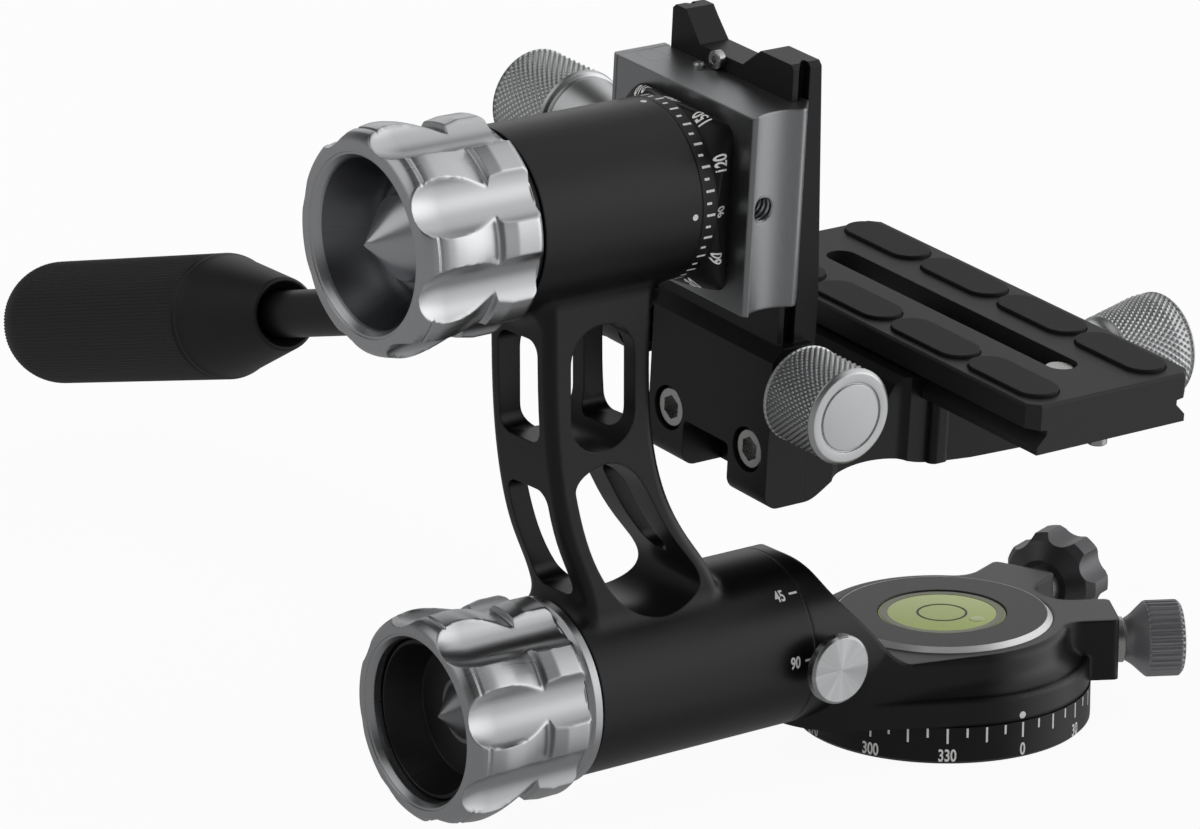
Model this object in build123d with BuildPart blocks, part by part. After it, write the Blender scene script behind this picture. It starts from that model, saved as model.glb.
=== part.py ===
"""Gimbal tripod head: a panning base, a folding swing arm and a tilting cradle with a dovetail plate.

Millimetres. Origin at the centre of the base's underside, +Z up along the pan axis, +X along the
two tube axes from the knobs towards the plate, +Y along the lens axis towards the handle.
The cradle group is drawn level and turned to its rest tilt as it is placed.
"""

from build123d import *
import math
import os

os.makedirs("parts", exist_ok=True)

# Base and pan housing
BASE_R = 30.0
BASE_H = 7.7
SOCKET_R = 4.05
SOCKET_DEPTH = 11.0
SPIGOT_R = 9.0
SPINDLE_FLANGE_R = 18.0
SPINDLE_FLANGE_Z = 4.2
SPINDLE_R = 16.5
SPINDLE_TOP = 17.65
VIAL_SEAT_R = 13.4
VIAL_SEAT_Z = 15.2
HOUSING_Z = 7.9
HOUSING_R = 29.8
HOUSING_TOP = 20.5
RIM_R = 24.6
BAND_TOP = 13.3
COVER_R = 22.1
COVER_Z = 19.3
COVER_CHAMFER = 0.8
VIAL_R = 12.8
RETAINER_R = 18.8
RETAINER_Z = 17.7
RETAINER_H = 1.2
RUN = 0.05

# Pan knobs: direction in degrees from +X, and axis height
LOCK_ANGLE = 22.0
DRAG_ANGLE = -30.0
PAN_KNOB_Z = 14.1
SHOE_R = 3.5

# Fold joint
FOLD_Z = 25.7
COLLAR_R = 17.6
COLLAR_FOOT_X = -25.4
FOLD_SEAM_X = -45.7
FOLD_TUBE_END = -96.4
FOLD_SHAFT_R = 9.0
FOLD_THREAD_R = 5.0
BUSH_R = 12.0
BUTTON_X = -43.5
BUTTON_Z = 24.9
BUTTON_FACE = -23.0
BUTTON_R = 6.9
BUTTON_STEM_R = 2.0

# Tilt joint
TILT_Z = 121.3
TILT_TUBE_R = 17.7
TILT_SEAM_X = -73.8
TILT_TUBE_END = -109.8
TILT_SHAFT_R = 8.5
DIAL_BAND = 3.3
TILT_THREAD_R = 5.0
BEARING_R = 13.0
BEARING_W = 5.0
REST_TILT = 4.43

# Swing arm
ARM_HALF = 10.0
ARM_WINDOW_HALF = 6.4
ARM_SLOT_HALF = 3.5

# Big knobs: mouth plane, rear plane, outer radius and mouth radius
FOLD_KNOB = (-127.9, -100.2, 21.1, 16.4)
TILT_KNOB = (-138.9, -111.8, 22.0, 16.8)
FLUTES = 8
FLUTE_R = 7.0
FLUTE_NOSE = 10.0

# Clamp and cradle bar
CLAMP_LEFT = -65.9
CLAMP_RIGHT = -53.55
CLAMP_BACK = -21.9
CLAMP_FRONT = 21.6
CLAMP_LOW = 101.0
CLAMP_HIGH = 140.4
JAW_PLATE = 1.7
BAR_FACE = -53.5
BAR_BACK_Y = -16.8
BAR_FRONT_Y = 21.2
LAND = 1.3
LIP = 2.0
FLANGE_X = -49.5
BAR_REAR_TOP = -46.8
BAR_REAR_LOW = -44.2
BLOCK_FACE = -56.0
BLOCK_REAR = -46.4
BLOCK_HALF = 19.0
BLOCK_LOW = 58.6
LOBE_GAP = (-6.8, 7.6)
LOBE_GAP_TOP = 68.4
BLOCK_STEP = 79.3
BLOCK_TOP = 91.4
BOLT_X = -51.3
BOLT_Z = 83.4
LUG_Y = 12.6
LUG_Z = 69.2
STOP_Z = 142.35
CLAMP_STUD_X = -61.5

# Platform and plate
PLATFORM_TOP = 74.8
PLATFORM_END = 21.0
PLATE_HALF = 20.1
PLATE_BACK = -53.8
PLATE_FRONT = 45.4
PLATE_TOP = 84.9
PLATE_LOW = 74.9
SLAB = 4.8
FOOT_HALF = 18.5
FOOT_LAND = 1.5
NECK_HALF = 16.3
SLOT_W = 6.5
SLOT_BACK = -41.0
SLOT_FRONT = 34.0
CHANNEL_W = 14.4
PLATE_KNOB_Y = -11.0
PLATE_KNOB_Z = 70.6
PLATE_GUIDES = ((-17.5, 67.0), (15.5, 67.0))

# Handle
HANDLE_DROP = 19.4
HANDLE_ROOT = (-51.0, 31.0, 84.5)
ROD_R = 5.06
GRIP_R = 13.66


def tilted(part):
    """Turns a piece of the cradle group from level to its rest tilt about the tilt axis."""
    return part.rotate(Axis((0, 0, TILT_Z), (1, 0, 0)), REST_TILT)


def placed(part, origin, toward):
    """Moves a piece made upwards from the origin so that it starts at a point and runs one way."""
    return part.moved(Plane(origin=origin, z_dir=toward).location)


def turned(*profile):
    """A body of revolution about Z from corners given as radius and height."""
    with BuildPart() as body:
        with BuildSketch(Plane.XZ):
            with BuildLine():
                Polyline(*profile, close=True)
            make_face()
        revolve(axis=Axis.Z)
    return body.part


def ring(inner, outer, low, high):
    """A plain ring about Z."""
    return turned((inner, low), (outer, low), (outer, high), (inner, high))


def socket_screw(head_r, head_h, shank_r, length, key):
    """A cap screw along +Z from the end of its shank to the top of its head, with a hex socket."""
    with BuildPart() as screw:
        with BuildSketch(Plane.XY):
            Circle(shank_r)
        extrude(amount=length)
        with BuildSketch(Plane.XY.offset(length)):
            Circle(head_r)
        extrude(amount=head_h)
        chamfer(screw.edges().group_by(Axis.Z)[-1], head_r * 0.12)
        with BuildSketch(Plane.XY.offset(length + head_h)):
            RegularPolygon(key, 6)
        extrude(amount=-head_h * 0.6, mode=Mode.SUBTRACT)
    return screw.part


def around(part, count, start=0.0):
    """Copies of a piece spread evenly about the pan axis, as separate solids."""
    turns = [start + i * 360.0 / count for i in range(count)]
    return Compound(children=[part.rotate(Axis.Z, a) for a in turns])


# ---------------------------------------------------------------- base and pan joint


def base_dial():
    """Round foot whose edge carries the pan scale, counterbored for the spindle."""
    with BuildPart() as foot:
        with BuildSketch(Plane.XY):
            Circle(BASE_R)
        extrude(amount=BASE_H)
        chamfer(foot.edges().group_by(Axis.Z)[0], 0.7)
        with BuildSketch(Plane.XY):
            Circle(SPIGOT_R + RUN)
        extrude(amount=BASE_H, mode=Mode.SUBTRACT)
        with BuildSketch(Plane.XY.offset(SPINDLE_FLANGE_Z)):
            Circle(SPINDLE_FLANGE_R + RUN)
        extrude(amount=BASE_H, mode=Mode.SUBTRACT)
        with BuildSketch(Plane.XY.offset(BASE_H - 0.5)):
            Circle(27.0)
            Circle(20.0, mode=Mode.SUBTRACT)
        extrude(amount=1.0, mode=Mode.SUBTRACT)
        with Locations(Plane.XY.rotated((180, 0, 0))):
            with PolarLocations(13.5, 3):
                CounterSinkHole(1.6, 3.1, depth=SPINDLE_FLANGE_Z)
    return foot.part


def pan_spindle():
    """Hub screwed into the foot: tripod thread below, brake groove and a seat under the level."""
    with BuildPart() as hub:
        with BuildSketch(Plane.XZ):
            with BuildLine():
                Polyline(
                    (SOCKET_R, 0),
                    (SPIGOT_R, 0),
                    (SPIGOT_R, SPINDLE_FLANGE_Z),
                    (SPINDLE_FLANGE_R, SPINDLE_FLANGE_Z),
                    (SPINDLE_FLANGE_R, BASE_H - RUN),
                    (SPINDLE_R, BASE_H - RUN),
                    (SPINDLE_R, PAN_KNOB_Z - 1.6),
                    (SPINDLE_R - 0.8, PAN_KNOB_Z - 0.8),
                    (SPINDLE_R - 0.8, PAN_KNOB_Z + 0.8),
                    (SPINDLE_R, PAN_KNOB_Z + 1.6),
                    (SPINDLE_R, SPINDLE_TOP),
                    (VIAL_SEAT_R, SPINDLE_TOP),
                    (VIAL_SEAT_R, VIAL_SEAT_Z),
                    (0, VIAL_SEAT_Z),
                    (0, SOCKET_DEPTH),
                    (SOCKET_R, SOCKET_DEPTH),
                    close=True,
                )
            make_face()
        revolve(axis=Axis.Z)
        with BuildSketch(Plane.XY.offset(SPINDLE_FLANGE_Z)):
            with PolarLocations(13.5, 3):
                Circle(1.5)
        extrude(amount=6.0, mode=Mode.SUBTRACT)
        with BuildSketch(Plane.XY.offset(SPINDLE_TOP)):
            with PolarLocations(15.0, 3, start_angle=60):
                Circle(0.9)
        extrude(amount=-4.5, mode=Mode.SUBTRACT)
    return hub.part


def base_screws():
    """Three countersunk screws from the foot up into the spindle."""
    screw = turned((0, 0.1), (2.9, 0.1), (1.45, 1.65), (1.45, 9.6), (0, 9.6))
    return around(screw.moved(Location((13.5, 0, 0))), 3)


def pan_retainer():
    """Ring screwed on the spindle that keeps the housing down."""
    with BuildPart() as keeper:
        with BuildSketch(Plane.XY.offset(RETAINER_Z)):
            Circle(RETAINER_R)
            Circle(VIAL_SEAT_R + 0.2, mode=Mode.SUBTRACT)
            with PolarLocations(15.0, 3, start_angle=60):
                Circle(0.95, mode=Mode.SUBTRACT)
        extrude(amount=RETAINER_H)
    return keeper.part


def retainer_screws():
    """Three small cap screws through the retainer."""
    top = RETAINER_Z + RETAINER_H
    screw = turned((0, top - 5.0), (0.88, top - 5.0), (0.88, top), (1.5, top), (1.5, top + 0.3), (0, top + 0.3))
    return around(screw.moved(Location((15.0, 0, 0))), 3, start=60)


def teardrop(height, radius):
    """Plan of the housing at one height: its round body and the foot of the collar in one outline."""
    with BuildSketch(Plane.XY.offset(height)) as plan:
        Circle(radius)
        with Locations((COLLAR_FOOT_X, 0)):
            Circle(COLLAR_R)
        make_hull()
    return plan.sketch


def knob_boss(angle, start, end, width, low, high):
    """Square boss on the housing's side, one knob's way out, with hollow flanks into the rim."""
    with BuildPart() as boss:
        with BuildSketch(Plane.XY.offset(low)) as plan:
            Circle(RIM_R)
            with Locations(((start + end) / 2, 0)):
                RectangleRounded(end - start, width, 1.2)
            corners = [
                v for v in plan.vertices() if v.X > 0 and abs(math.hypot(v.X, v.Y) - RIM_R) < 0.01
            ]
            fillet(corners, 6.0)
        extrude(amount=high - low)
    return boss.part.rotate(Axis.Z, angle)


def pan_housing():
    """Casting that turns on the spindle: coved body, collar with a ramp and two knob bosses."""
    cove = ((BAND_TOP - 0.6, 28.7), (14.4, 26.9), (16.2, 26.0), (18.4, 25.8), (HOUSING_TOP, RIM_R))
    with BuildPart() as housing:
        add(teardrop(HOUSING_Z, HOUSING_R))
        extrude(amount=BAND_TOP - HOUSING_Z)
        fillet(housing.edges().group_by(Axis.Z)[-1], 0.8)
        loft(sections=[teardrop(height, radius) for height, radius in cove])
        add(teardrop(HOUSING_TOP, RIM_R))
        extrude(amount=FOLD_Z - HOUSING_TOP)
        add(knob_boss(DRAG_ANGLE, 20.0, 35.0, 13.0, HOUSING_Z, HOUSING_TOP))
        add(knob_boss(LOCK_ANGLE, 20.0, 35.0, 14.0, HOUSING_Z, HOUSING_TOP))
        with BuildSketch(Plane.YZ.offset(FOLD_SEAM_X + RUN)):
            with Locations((0, FOLD_Z)):
                Circle(COLLAR_R)
        extrude(amount=-15.0 - FOLD_SEAM_X)
        with BuildSketch(Plane.XZ):
            with BuildLine():
                ramp = Spline(
                    (-43.2, FOLD_Z + COLLAR_R),
                    (-39.9, 39.2),
                    (-34.3, 31.5),
                    (-28.5, 24.8),
                    (-22.8, HOUSING_TOP),
                    tangents=[(1, -0.15), (1, -0.25)],
                )
                Polyline(ramp @ 1, (0, HOUSING_TOP), (0, 60), (-43.2, 60), ramp @ 0)
            make_face()
        extrude(amount=40, both=True, mode=Mode.SUBTRACT)
        with BuildSketch(Plane.XY.offset(HOUSING_TOP)):
            with Locations((20, 0)):
                Rectangle(40, 60)
        extrude(amount=40, mode=Mode.SUBTRACT)
        # hollows: spindle bore, retainer pocket and the seat of the level cover
        for radius, low, high in (
            (SPINDLE_R + RUN, HOUSING_Z, RETAINER_Z),
            (RETAINER_R + 0.4, RETAINER_Z - 0.1, COVER_Z),
            (COVER_R + 0.2, COVER_Z, 60.0),
        ):
            with BuildSketch(Plane.XY.offset(low)):
                Circle(radius)
            extrude(amount=high - low, mode=Mode.SUBTRACT)
        # fold shaft hole, stepped so that it stays under the ramp
        for radius, end in ((FOLD_SHAFT_R, -38.0), (FOLD_THREAD_R, -34.6)):
            with BuildSketch(Plane.YZ.offset(FOLD_SEAM_X - 1.0)):
                with Locations((0, FOLD_Z)):
                    Circle(radius)
            extrude(amount=end - FOLD_SEAM_X + 1.0, mode=Mode.SUBTRACT)
        # button hole
        with BuildSketch(Plane.XZ.offset(9.4)):
            with Locations((BUTTON_X, BUTTON_Z)):
                Circle(BUTTON_STEM_R + RUN)
        extrude(amount=10.0, mode=Mode.SUBTRACT)
        # radial holes for the lock and drag studs
        for angle in (LOCK_ANGLE, DRAG_ANGLE):
            way = Vector(1, 0, 0).rotate(Axis.Z, angle)
            with BuildSketch(Plane(origin=way * 10 + Vector(0, 0, PAN_KNOB_Z), z_dir=way)):
                Circle(SHOE_R + RUN)
            extrude(amount=16.0, mode=Mode.SUBTRACT)
            with BuildSketch(Plane(origin=way * 20 + Vector(0, 0, PAN_KNOB_Z), z_dir=way)):
                Circle(2.5 + RUN)
            extrude(amount=20.0, mode=Mode.SUBTRACT)
    return housing.part


def level_cover():
    """Disc in the top of the housing that frames the level, with a bright chamfer."""
    with BuildPart() as cover:
        with BuildSketch(Plane.XY.offset(COVER_Z)):
            Circle(COVER_R)
        extrude(amount=HOUSING_TOP + 0.1 - COVER_Z)
        chamfer(cover.edges().group_by(Axis.Z)[-1], COVER_CHAMFER)
        with BuildSketch(Plane.XY.offset(COVER_Z)):
            Circle(VIAL_R + RUN)
        extrude(amount=5.0, mode=Mode.SUBTRACT)
    return cover.part


def level_vial():
    """Round bubble level, slightly below its frame."""
    high = HOUSING_TOP - 0.2
    return turned((0, 15.6), (VIAL_R - 0.5, 15.6), (VIAL_R, 16.2), (VIAL_R, high), (0, high))


def brake_shoe(angle):
    """Plug between a stud and the spindle's groove, hollowed to the spindle's curve."""
    with BuildPart() as shoe:
        with BuildSketch(Plane.YZ.offset(SPINDLE_R - 1.0)):
            with Locations((0, PAN_KNOB_Z)):
                Circle(SHOE_R)
        extrude(amount=7.2)
        with BuildSketch(Plane.XY):
            Circle(SPINDLE_R + RUN)
        extrude(amount=30, mode=Mode.SUBTRACT)
    return shoe.part.rotate(Axis.Z, angle)


def radial(part, angle, distance):
    """Places a piece made along +Z on one of the two pan knob axes."""
    way = Vector(1, 0, 0).rotate(Axis.Z, angle)
    return placed(part, way * distance + Vector(0, 0, PAN_KNOB_Z), way)


def pan_lock_knob():
    """Dark knob with seven scallops, waisted towards its shaft."""
    with BuildPart() as knob:
        with BuildSketch(Plane.XZ):
            with BuildLine():
                Polyline((0, 0), (5.6, 0), (9.2, 2.2), (10.5, 4.0), (10.5, 9.4), (9.6, 10.4), (0, 10.4), close=True)
            make_face()
        revolve(axis=Axis.Z)
        with BuildSketch(Plane.XY):
            with PolarLocations(13.4, 7):
                Circle(4.6)
        extrude(amount=11.0, mode=Mode.SUBTRACT)
    return radial(knob.part, LOCK_ANGLE, 42.3)


def pan_lock_stud():
    """Threaded shaft of the lock knob."""
    stud = turned((0, 0), (2.5, 0), (2.5, 15.2), (4.4, 15.2), (4.4, 18.6), (0, 18.6))
    return radial(stud, LOCK_ANGLE, 23.7)


def pan_drag_knob():
    """Small knob with a dark tapered neck and a knurled rim."""
    knob = turned((0, 0), (4.0, 0), (5.2, 1.6), (7.0, 3.8), (7.7, 4.6), (7.7, 11.2), (7.0, 11.9), (0, 11.9))
    return radial(knob, DRAG_ANGLE, 36.6)


def pan_drag_stud():
    """Threaded shaft of the drag knob with the bright collar that shows at the boss."""
    stud = turned((0, 0), (2.5, 0), (2.5, 11.4), (4.6, 11.4), (4.6, 12.9), (0, 12.9))
    return radial(stud, DRAG_ANGLE, 23.7)


# ---------------------------------------------------------------- fold joint


def along_x(part, x, z):
    """Places a piece made along +Z so that it starts at x on a tube axis and runs towards -X."""
    return placed(part, (x, 0, z), (-1, 0, 0))


def fold_shaft():
    """Fixed shaft on which the lower tube swings, stepped into the collar and threaded outside."""
    inner = -34.7
    step = inner + 38.1
    seat = inner - FOLD_TUBE_END
    shaft = turned(
        (0, 0), (FOLD_THREAD_R, 0), (FOLD_THREAD_R, step), (FOLD_SHAFT_R, step), (FOLD_SHAFT_R, seat),
        (FOLD_THREAD_R, seat), (FOLD_THREAD_R, seat + 15.0), (0, seat + 15.0),
    )
    return along_x(shaft, inner, FOLD_Z)


def fold_bush(x):
    """Bush between the shaft and the lower tube."""
    return along_x(ring(FOLD_SHAFT_R + RUN, BUSH_R, 0, 9.0), x, FOLD_Z)


def fold_lock_button():
    """Turned button whose stem is guided in the collar."""
    button = turned(
        (0, 0), (BUTTON_R - 0.5, 0), (BUTTON_R, 0.5), (BUTTON_R, 2.0), (BUTTON_R - 0.4, 2.4),
        (BUTTON_STEM_R, 2.4), (BUTTON_STEM_R, 9.0), (0, 9.0),
    )
    return placed(button, (BUTTON_X, BUTTON_FACE, BUTTON_Z), (0, 1, 0))


def fold_lock_spring():
    """Coil spring under the button's stem."""
    with BuildPart() as spring:
        with BuildLine():
            coil = Helix(pitch=1.05, height=3.9, radius=1.4)
        with BuildSketch(Plane(origin=coil @ 0, z_dir=coil % 0)):
            Circle(0.28)
        sweep(is_frenet=True)
    return placed(spring.part, (BUTTON_X, -13.65, BUTTON_Z), (0, 1, 0))


def flute_cutter(end):
    """Round bar with a long rounded nose that ends at a height."""
    base = end - FLUTE_NOSE
    with BuildPart() as cutter:
        with BuildSketch(Plane.XZ):
            with BuildLine():
                Polyline((0, end), (0, -1.0), (FLUTE_R, -1.0), (FLUTE_R, base))
                Spline(
                    (FLUTE_R, base),
                    (FLUTE_R * 0.866, base + FLUTE_NOSE * 0.5),
                    (FLUTE_R * 0.5, base + FLUTE_NOSE * 0.866),
                    (0, end),
                    tangents=[(0, 1), (-1, 0)],
                )
            make_face()
        revolve(axis=Axis.Z)
    return cutter.part


def scalloped_knob(mouth, rear, outer, opening, floor_depth, floor_r):
    """Large knob: plain front ring, hollow waist, stepped rear band and flutes cut along it."""
    length = rear - mouth
    with BuildPart() as knob:
        with BuildSketch(Plane.XZ):
            with BuildLine():
                Polyline((FOLD_THREAD_R + 0.1, 0), (outer - 3.4, 0), (outer - 1.9, 1.2), (outer - 1.5, 7.0))
                Polyline((outer - 1.5, 7.0), (outer - 2.4, 8.8))
                ThreePointArc((outer - 2.4, 8.8), (outer - 1.5, 15.5), (outer - 0.5, length - 4.0))
                Polyline((outer - 0.5, length - 4.0), (outer, length - 3.6), (outer, length - 1.4))
                ThreePointArc((outer, length - 1.4), (outer - 0.5, length - 0.45), (outer - 1.5, length))
                Polyline((outer - 1.5, length), (opening + 0.9, length), (opening, length - 1.2))
                Polyline(
                    (opening, length - 1.2),
                    (floor_r, length - floor_depth),
                    (FOLD_THREAD_R + 0.1, length - floor_depth),
                    (FOLD_THREAD_R + 0.1, 0),
                )
            make_face()
        revolve(axis=Axis.Z)
        flute = flute_cutter(length - 1.6).moved(Location((outer + FLUTE_R - 3.6, 0, 0)))
        for i in range(FLUTES):
            add(flute.rotate(Axis.Z, (i + 0.5) * 360.0 / FLUTES), mode=Mode.SUBTRACT)
    return knob.part


def fold_knob():
    """Lower large knob."""
    mouth, rear, outer, opening = FOLD_KNOB
    body = scalloped_knob(mouth, rear, outer, opening, 14.0, opening - 0.6)
    return along_x(body, rear, FOLD_Z)


def fold_knob_hub():
    """Dark dish with a small cone in the mouth of the lower knob."""
    mouth, rear, outer, opening = FOLD_KNOB
    floor = 13.9
    dish = turned(
        (0, 0), (15.4, 0), (15.4, floor - 3.2), (14.7, floor - 2.8), (12.6, 3.4), (5.6, 3.0), (0, 8.6),
    )
    return along_x(dish, mouth + floor, FOLD_Z)


def fold_flange():
    """Bright ring between the lower tube and its knob."""
    ring_part = turned(
        (5.3, 0), (16.9, 0), (18.3, 0.8), (18.3, 2.4), (17.4, 3.4), (5.3, 3.4),
    )
    return along_x(ring_part, FOLD_TUBE_END - RUN, FOLD_Z)


# ---------------------------------------------------------------- swing arm


def window(points, depth):
    """Cutter for a rounded opening seen along Y."""
    with BuildPart() as cutter:
        with BuildSketch(Plane.XZ):
            with BuildLine():
                Spline(*points, periodic=True)
            make_face()
        extrude(amount=depth, both=True)
    return cutter.part


def swing_arm():
    """One casting of two tubes and a four-legged curved beam with openings along X and Y."""
    with BuildPart() as arm:
        with BuildSketch(Plane.XZ):
            with BuildLine():
                inside = Spline(
                    (-77.6, 114.0),
                    (-79.4, 86.8),
                    (-78.5, 75.1),
                    (-75.2, 62.8),
                    (-70.0, 53.5),
                    (-65.8, 47.6),
                    (-61.5, 38.0),
                    tangents=[(-0.15, -1), (0.3, -1)],
                )
                outside = Spline(
                    (-95.0, 34.0),
                    (-95.8, 48.2),
                    (-99.0, 56.2),
                    (-101.8, 67.0),
                    (-103.6, 84.0),
                    (-104.0, 114.0),
                )
                Line(inside @ 1, outside @ 0)
                Line(outside @ 1, inside @ 0)
            make_face()
        extrude(amount=ARM_HALF, both=True)
        rims = arm.faces().filter_by(Axis.Y).edges().filter_by(lambda e: e.length > 50)
        fillet(rims, 2.2)
        with BuildSketch(Plane.YZ.offset(FOLD_TUBE_END)):
            with Locations((0, FOLD_Z)):
                Circle(COLLAR_R)
        extrude(amount=FOLD_SEAM_X - FOLD_TUBE_END)
        with BuildSketch(Plane.YZ.offset(TILT_TUBE_END)):
            with Locations((0, TILT_Z)):
                Circle(TILT_TUBE_R)
        extrude(amount=TILT_SEAM_X - TILT_TUBE_END)
        # the beam flares into each tube all round
        for low, high, left, right in ((101, 110, -106, -76), (38, 44.5, -97, -58)):
            joins = arm.edges().filter_by(
                lambda e: low < e.center().Z < high
                and left < e.center().X < right
                and abs(e.center().Y) < ARM_HALF + 1
                and (e.geom_type == GeomType.LINE or e.length < 15)
            )
            fillet(joins, 5.0)
        # bores
        for z, low, high, radius in (
            (FOLD_Z, FOLD_TUBE_END, FOLD_SEAM_X, BUSH_R),
            (TILT_Z, TILT_TUBE_END, TILT_SEAM_X, BEARING_R),
        ):
            with BuildSketch(Plane.YZ.offset(low)):
                with Locations((0, z)):
                    Circle(radius)
            extrude(amount=high - low, mode=Mode.SUBTRACT)
        # openings along Y
        with BuildSketch(Plane.XZ):
            with Locations((-91.25, 87.65)):
                RectangleRounded(14.9, 24.9, 7.0)
        extrude(amount=30, both=True, mode=Mode.SUBTRACT)
        lower = (
            (-97.5, 67.6),
            (-94.6, 56.8),
            (-90.6, 48.6),
            (-84.4, 41.9),
            (-74.5, 39.9),
            (-68.3, 43.6),
            (-72.2, 51.4),
            (-78.4, 60.6),
            (-83.2, 68.6),
            (-91.0, 72.4),
        )
        add(window(lower, 30), mode=Mode.SUBTRACT)
        # openings along X, the lower one narrower through the inner wall
        for low, high, left, right, half in (
            (77.6, 98.0, -115, -53, ARM_WINDOW_HALF),
            (45.8, 68.0, -115, -86, ARM_WINDOW_HALF),
            (49.0, 68.0, -88, -53, ARM_SLOT_HALF),
        ):
            with BuildSketch(Plane.YZ.offset(left)):
                with Locations((0, (low + high) / 2)):
                    RectangleRounded(2 * half, high - low, 3.0)
            extrude(amount=right - left, mode=Mode.SUBTRACT)
    return arm.part


# ---------------------------------------------------------------- tilt joint


def tilt_bearing(x):
    """Ball bearing unit in the upper tube, with a groove between its rings."""
    unit = turned(
        (TILT_SHAFT_R + RUN, 0), (10.0, 0), (10.0, 0.4), (11.6, 0.4), (11.6, 0), (BEARING_R, 0),
        (BEARING_R, BEARING_W), (11.6, BEARING_W), (11.6, BEARING_W - 0.4), (10.0, BEARING_W - 0.4),
        (10.0, BEARING_W), (TILT_SHAFT_R + RUN, BEARING_W),
    )
    return along_x(unit, x, TILT_Z)


def tilt_shaft():
    """Shaft fixed in the dial, running in both bearings, threaded for the tilt knob."""
    seat = TILT_TUBE_END - 0.1
    start = TILT_SEAM_X + 4.0
    reach = start - seat
    shaft = turned(
        (0, 0), (TILT_SHAFT_R, 0), (TILT_SHAFT_R, reach), (TILT_THREAD_R, reach),
        (TILT_THREAD_R, reach + 15.0), (0, reach + 15.0),
    )
    return tilted(along_x(shaft, start, TILT_Z))


def tilt_flange():
    """Brake washer between the upper tube and the tilt knob."""
    washer = ring(5.3, 17.2, 0, 1.7)
    return tilted(along_x(washer, TILT_TUBE_END - 0.15, TILT_Z))


def tilt_knob():
    """Upper large knob."""
    mouth, rear, outer, opening = TILT_KNOB
    body = scalloped_knob(mouth, rear, outer, opening, 13.4, 11.4)
    return tilted(along_x(body, rear, TILT_Z))


def tilt_knob_hub():
    """Large pointed cone on the floor of the upper knob."""
    mouth, rear, outer, opening = TILT_KNOB
    floor = 13.3
    cone = turned((0, 0), (10.8, 0), (10.6, 1.4), (8.6, 3.2), (8.0, 4.9), (0, 12.8))
    return tilted(along_x(cone, mouth + floor, TILT_Z))


def tilt_dial():
    """Scale ring that goes from round at the tube to square at the clamp."""
    face = TILT_SEAM_X + 0.1
    with BuildPart() as dial:
        with BuildSketch(Plane.YZ.offset(face)):
            with Locations((0, TILT_Z)):
                Circle(TILT_TUBE_R)
        extrude(amount=DIAL_BAND)
        start = TILT_TUBE_R - 0.15
        for x, width, height, corner, drop in (
            (face + DIAL_BAND, 2 * start, 2 * start, start - 0.1, 0.0),
            (-68.9, 33.9, 34.9, 11.0, 0.3),
            (CLAMP_LEFT, 31.2, 33.6, 3.0, 0.8),
        ):
            with BuildSketch(Plane.YZ.offset(x)):
                with Locations((0, TILT_Z - drop)):
                    RectangleRounded(width, height, corner)
        loft()
        with BuildSketch(Plane.YZ.offset(face)):
            with Locations((0, TILT_Z)):
                Circle(TILT_SHAFT_R)
        extrude(amount=3.9, mode=Mode.SUBTRACT)
    return tilted(dial.part)


# ---------------------------------------------------------------- clamp for the cradle bar


def clamp_body():
    """Block with a fixed hooked jaw, a hollow side, and holes for the stud and the guides."""
    hook_x = BAR_FACE + LAND
    with BuildPart() as block:
        with BuildSketch(Plane.XY.offset(CLAMP_LOW)):
            with BuildLine():
                Polyline(
                    (CLAMP_LEFT, CLAMP_FRONT),
                    (CLAMP_LEFT, CLAMP_BACK + 0.7),
                    (CLAMP_LEFT + 0.7, CLAMP_BACK),
                    (-64.9, CLAMP_BACK),
                    (-64.6, CLAMP_BACK + 0.9),
                )
                ThreePointArc(
                    (-64.6, CLAMP_BACK + 0.9), (-59.6, CLAMP_BACK + 2.1), (-54.7, CLAMP_BACK + 0.8)
                )
                Polyline(
                    (-54.7, CLAMP_BACK + 0.8),
                    (-54.0, CLAMP_BACK + 0.5),
                    (-53.2, CLAMP_BACK + 0.8),
                    (hook_x + 2.2, BAR_BACK_Y - 0.7),
                    (hook_x + 2.2, BAR_BACK_Y + 1.6),
                    (hook_x + 1.65, BAR_BACK_Y + 1.5),
                    (hook_x + 0.05, BAR_BACK_Y - 0.1),
                    (CLAMP_RIGHT, BAR_BACK_Y - 0.1),
                    (CLAMP_RIGHT, CLAMP_FRONT),
                    (CLAMP_LEFT, CLAMP_FRONT),
                )
            make_face()
        extrude(amount=CLAMP_HIGH - CLAMP_LOW)
        with BuildSketch(Plane.XZ.offset(-CLAMP_BACK)):
            with Locations((CLAMP_STUD_X, TILT_Z)):
                Circle(2.55)
        extrude(amount=-12.0, mode=Mode.SUBTRACT)
        with BuildSketch(Plane.XZ.offset(-CLAMP_FRONT)):
            with Locations((CLAMP_STUD_X, TILT_Z)):
                Circle(3.0 + RUN)
            with Locations((-60.5, TILT_Z - 13.0), (-60.5, TILT_Z + 13.0)):
                Circle(2.0 + RUN)
        extrude(amount=22.0, mode=Mode.SUBTRACT)
        with BuildSketch(Plane.XY.offset(CLAMP_HIGH)):
            with Locations((-56.6, 8.1)):
                Circle(1.2)
        extrude(amount=-3.0, mode=Mode.SUBTRACT)
    return tilted(block.part)


def clamp_pin():
    """Small pin in the top of the clamp."""
    pin = turned((0, 0), (1.18, 0), (1.18, 3.6), (0.8, 4.0), (0, 4.0))
    return tilted(pin.moved(Location((-56.6, 8.1, CLAMP_HIGH - 2.9))))


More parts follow.
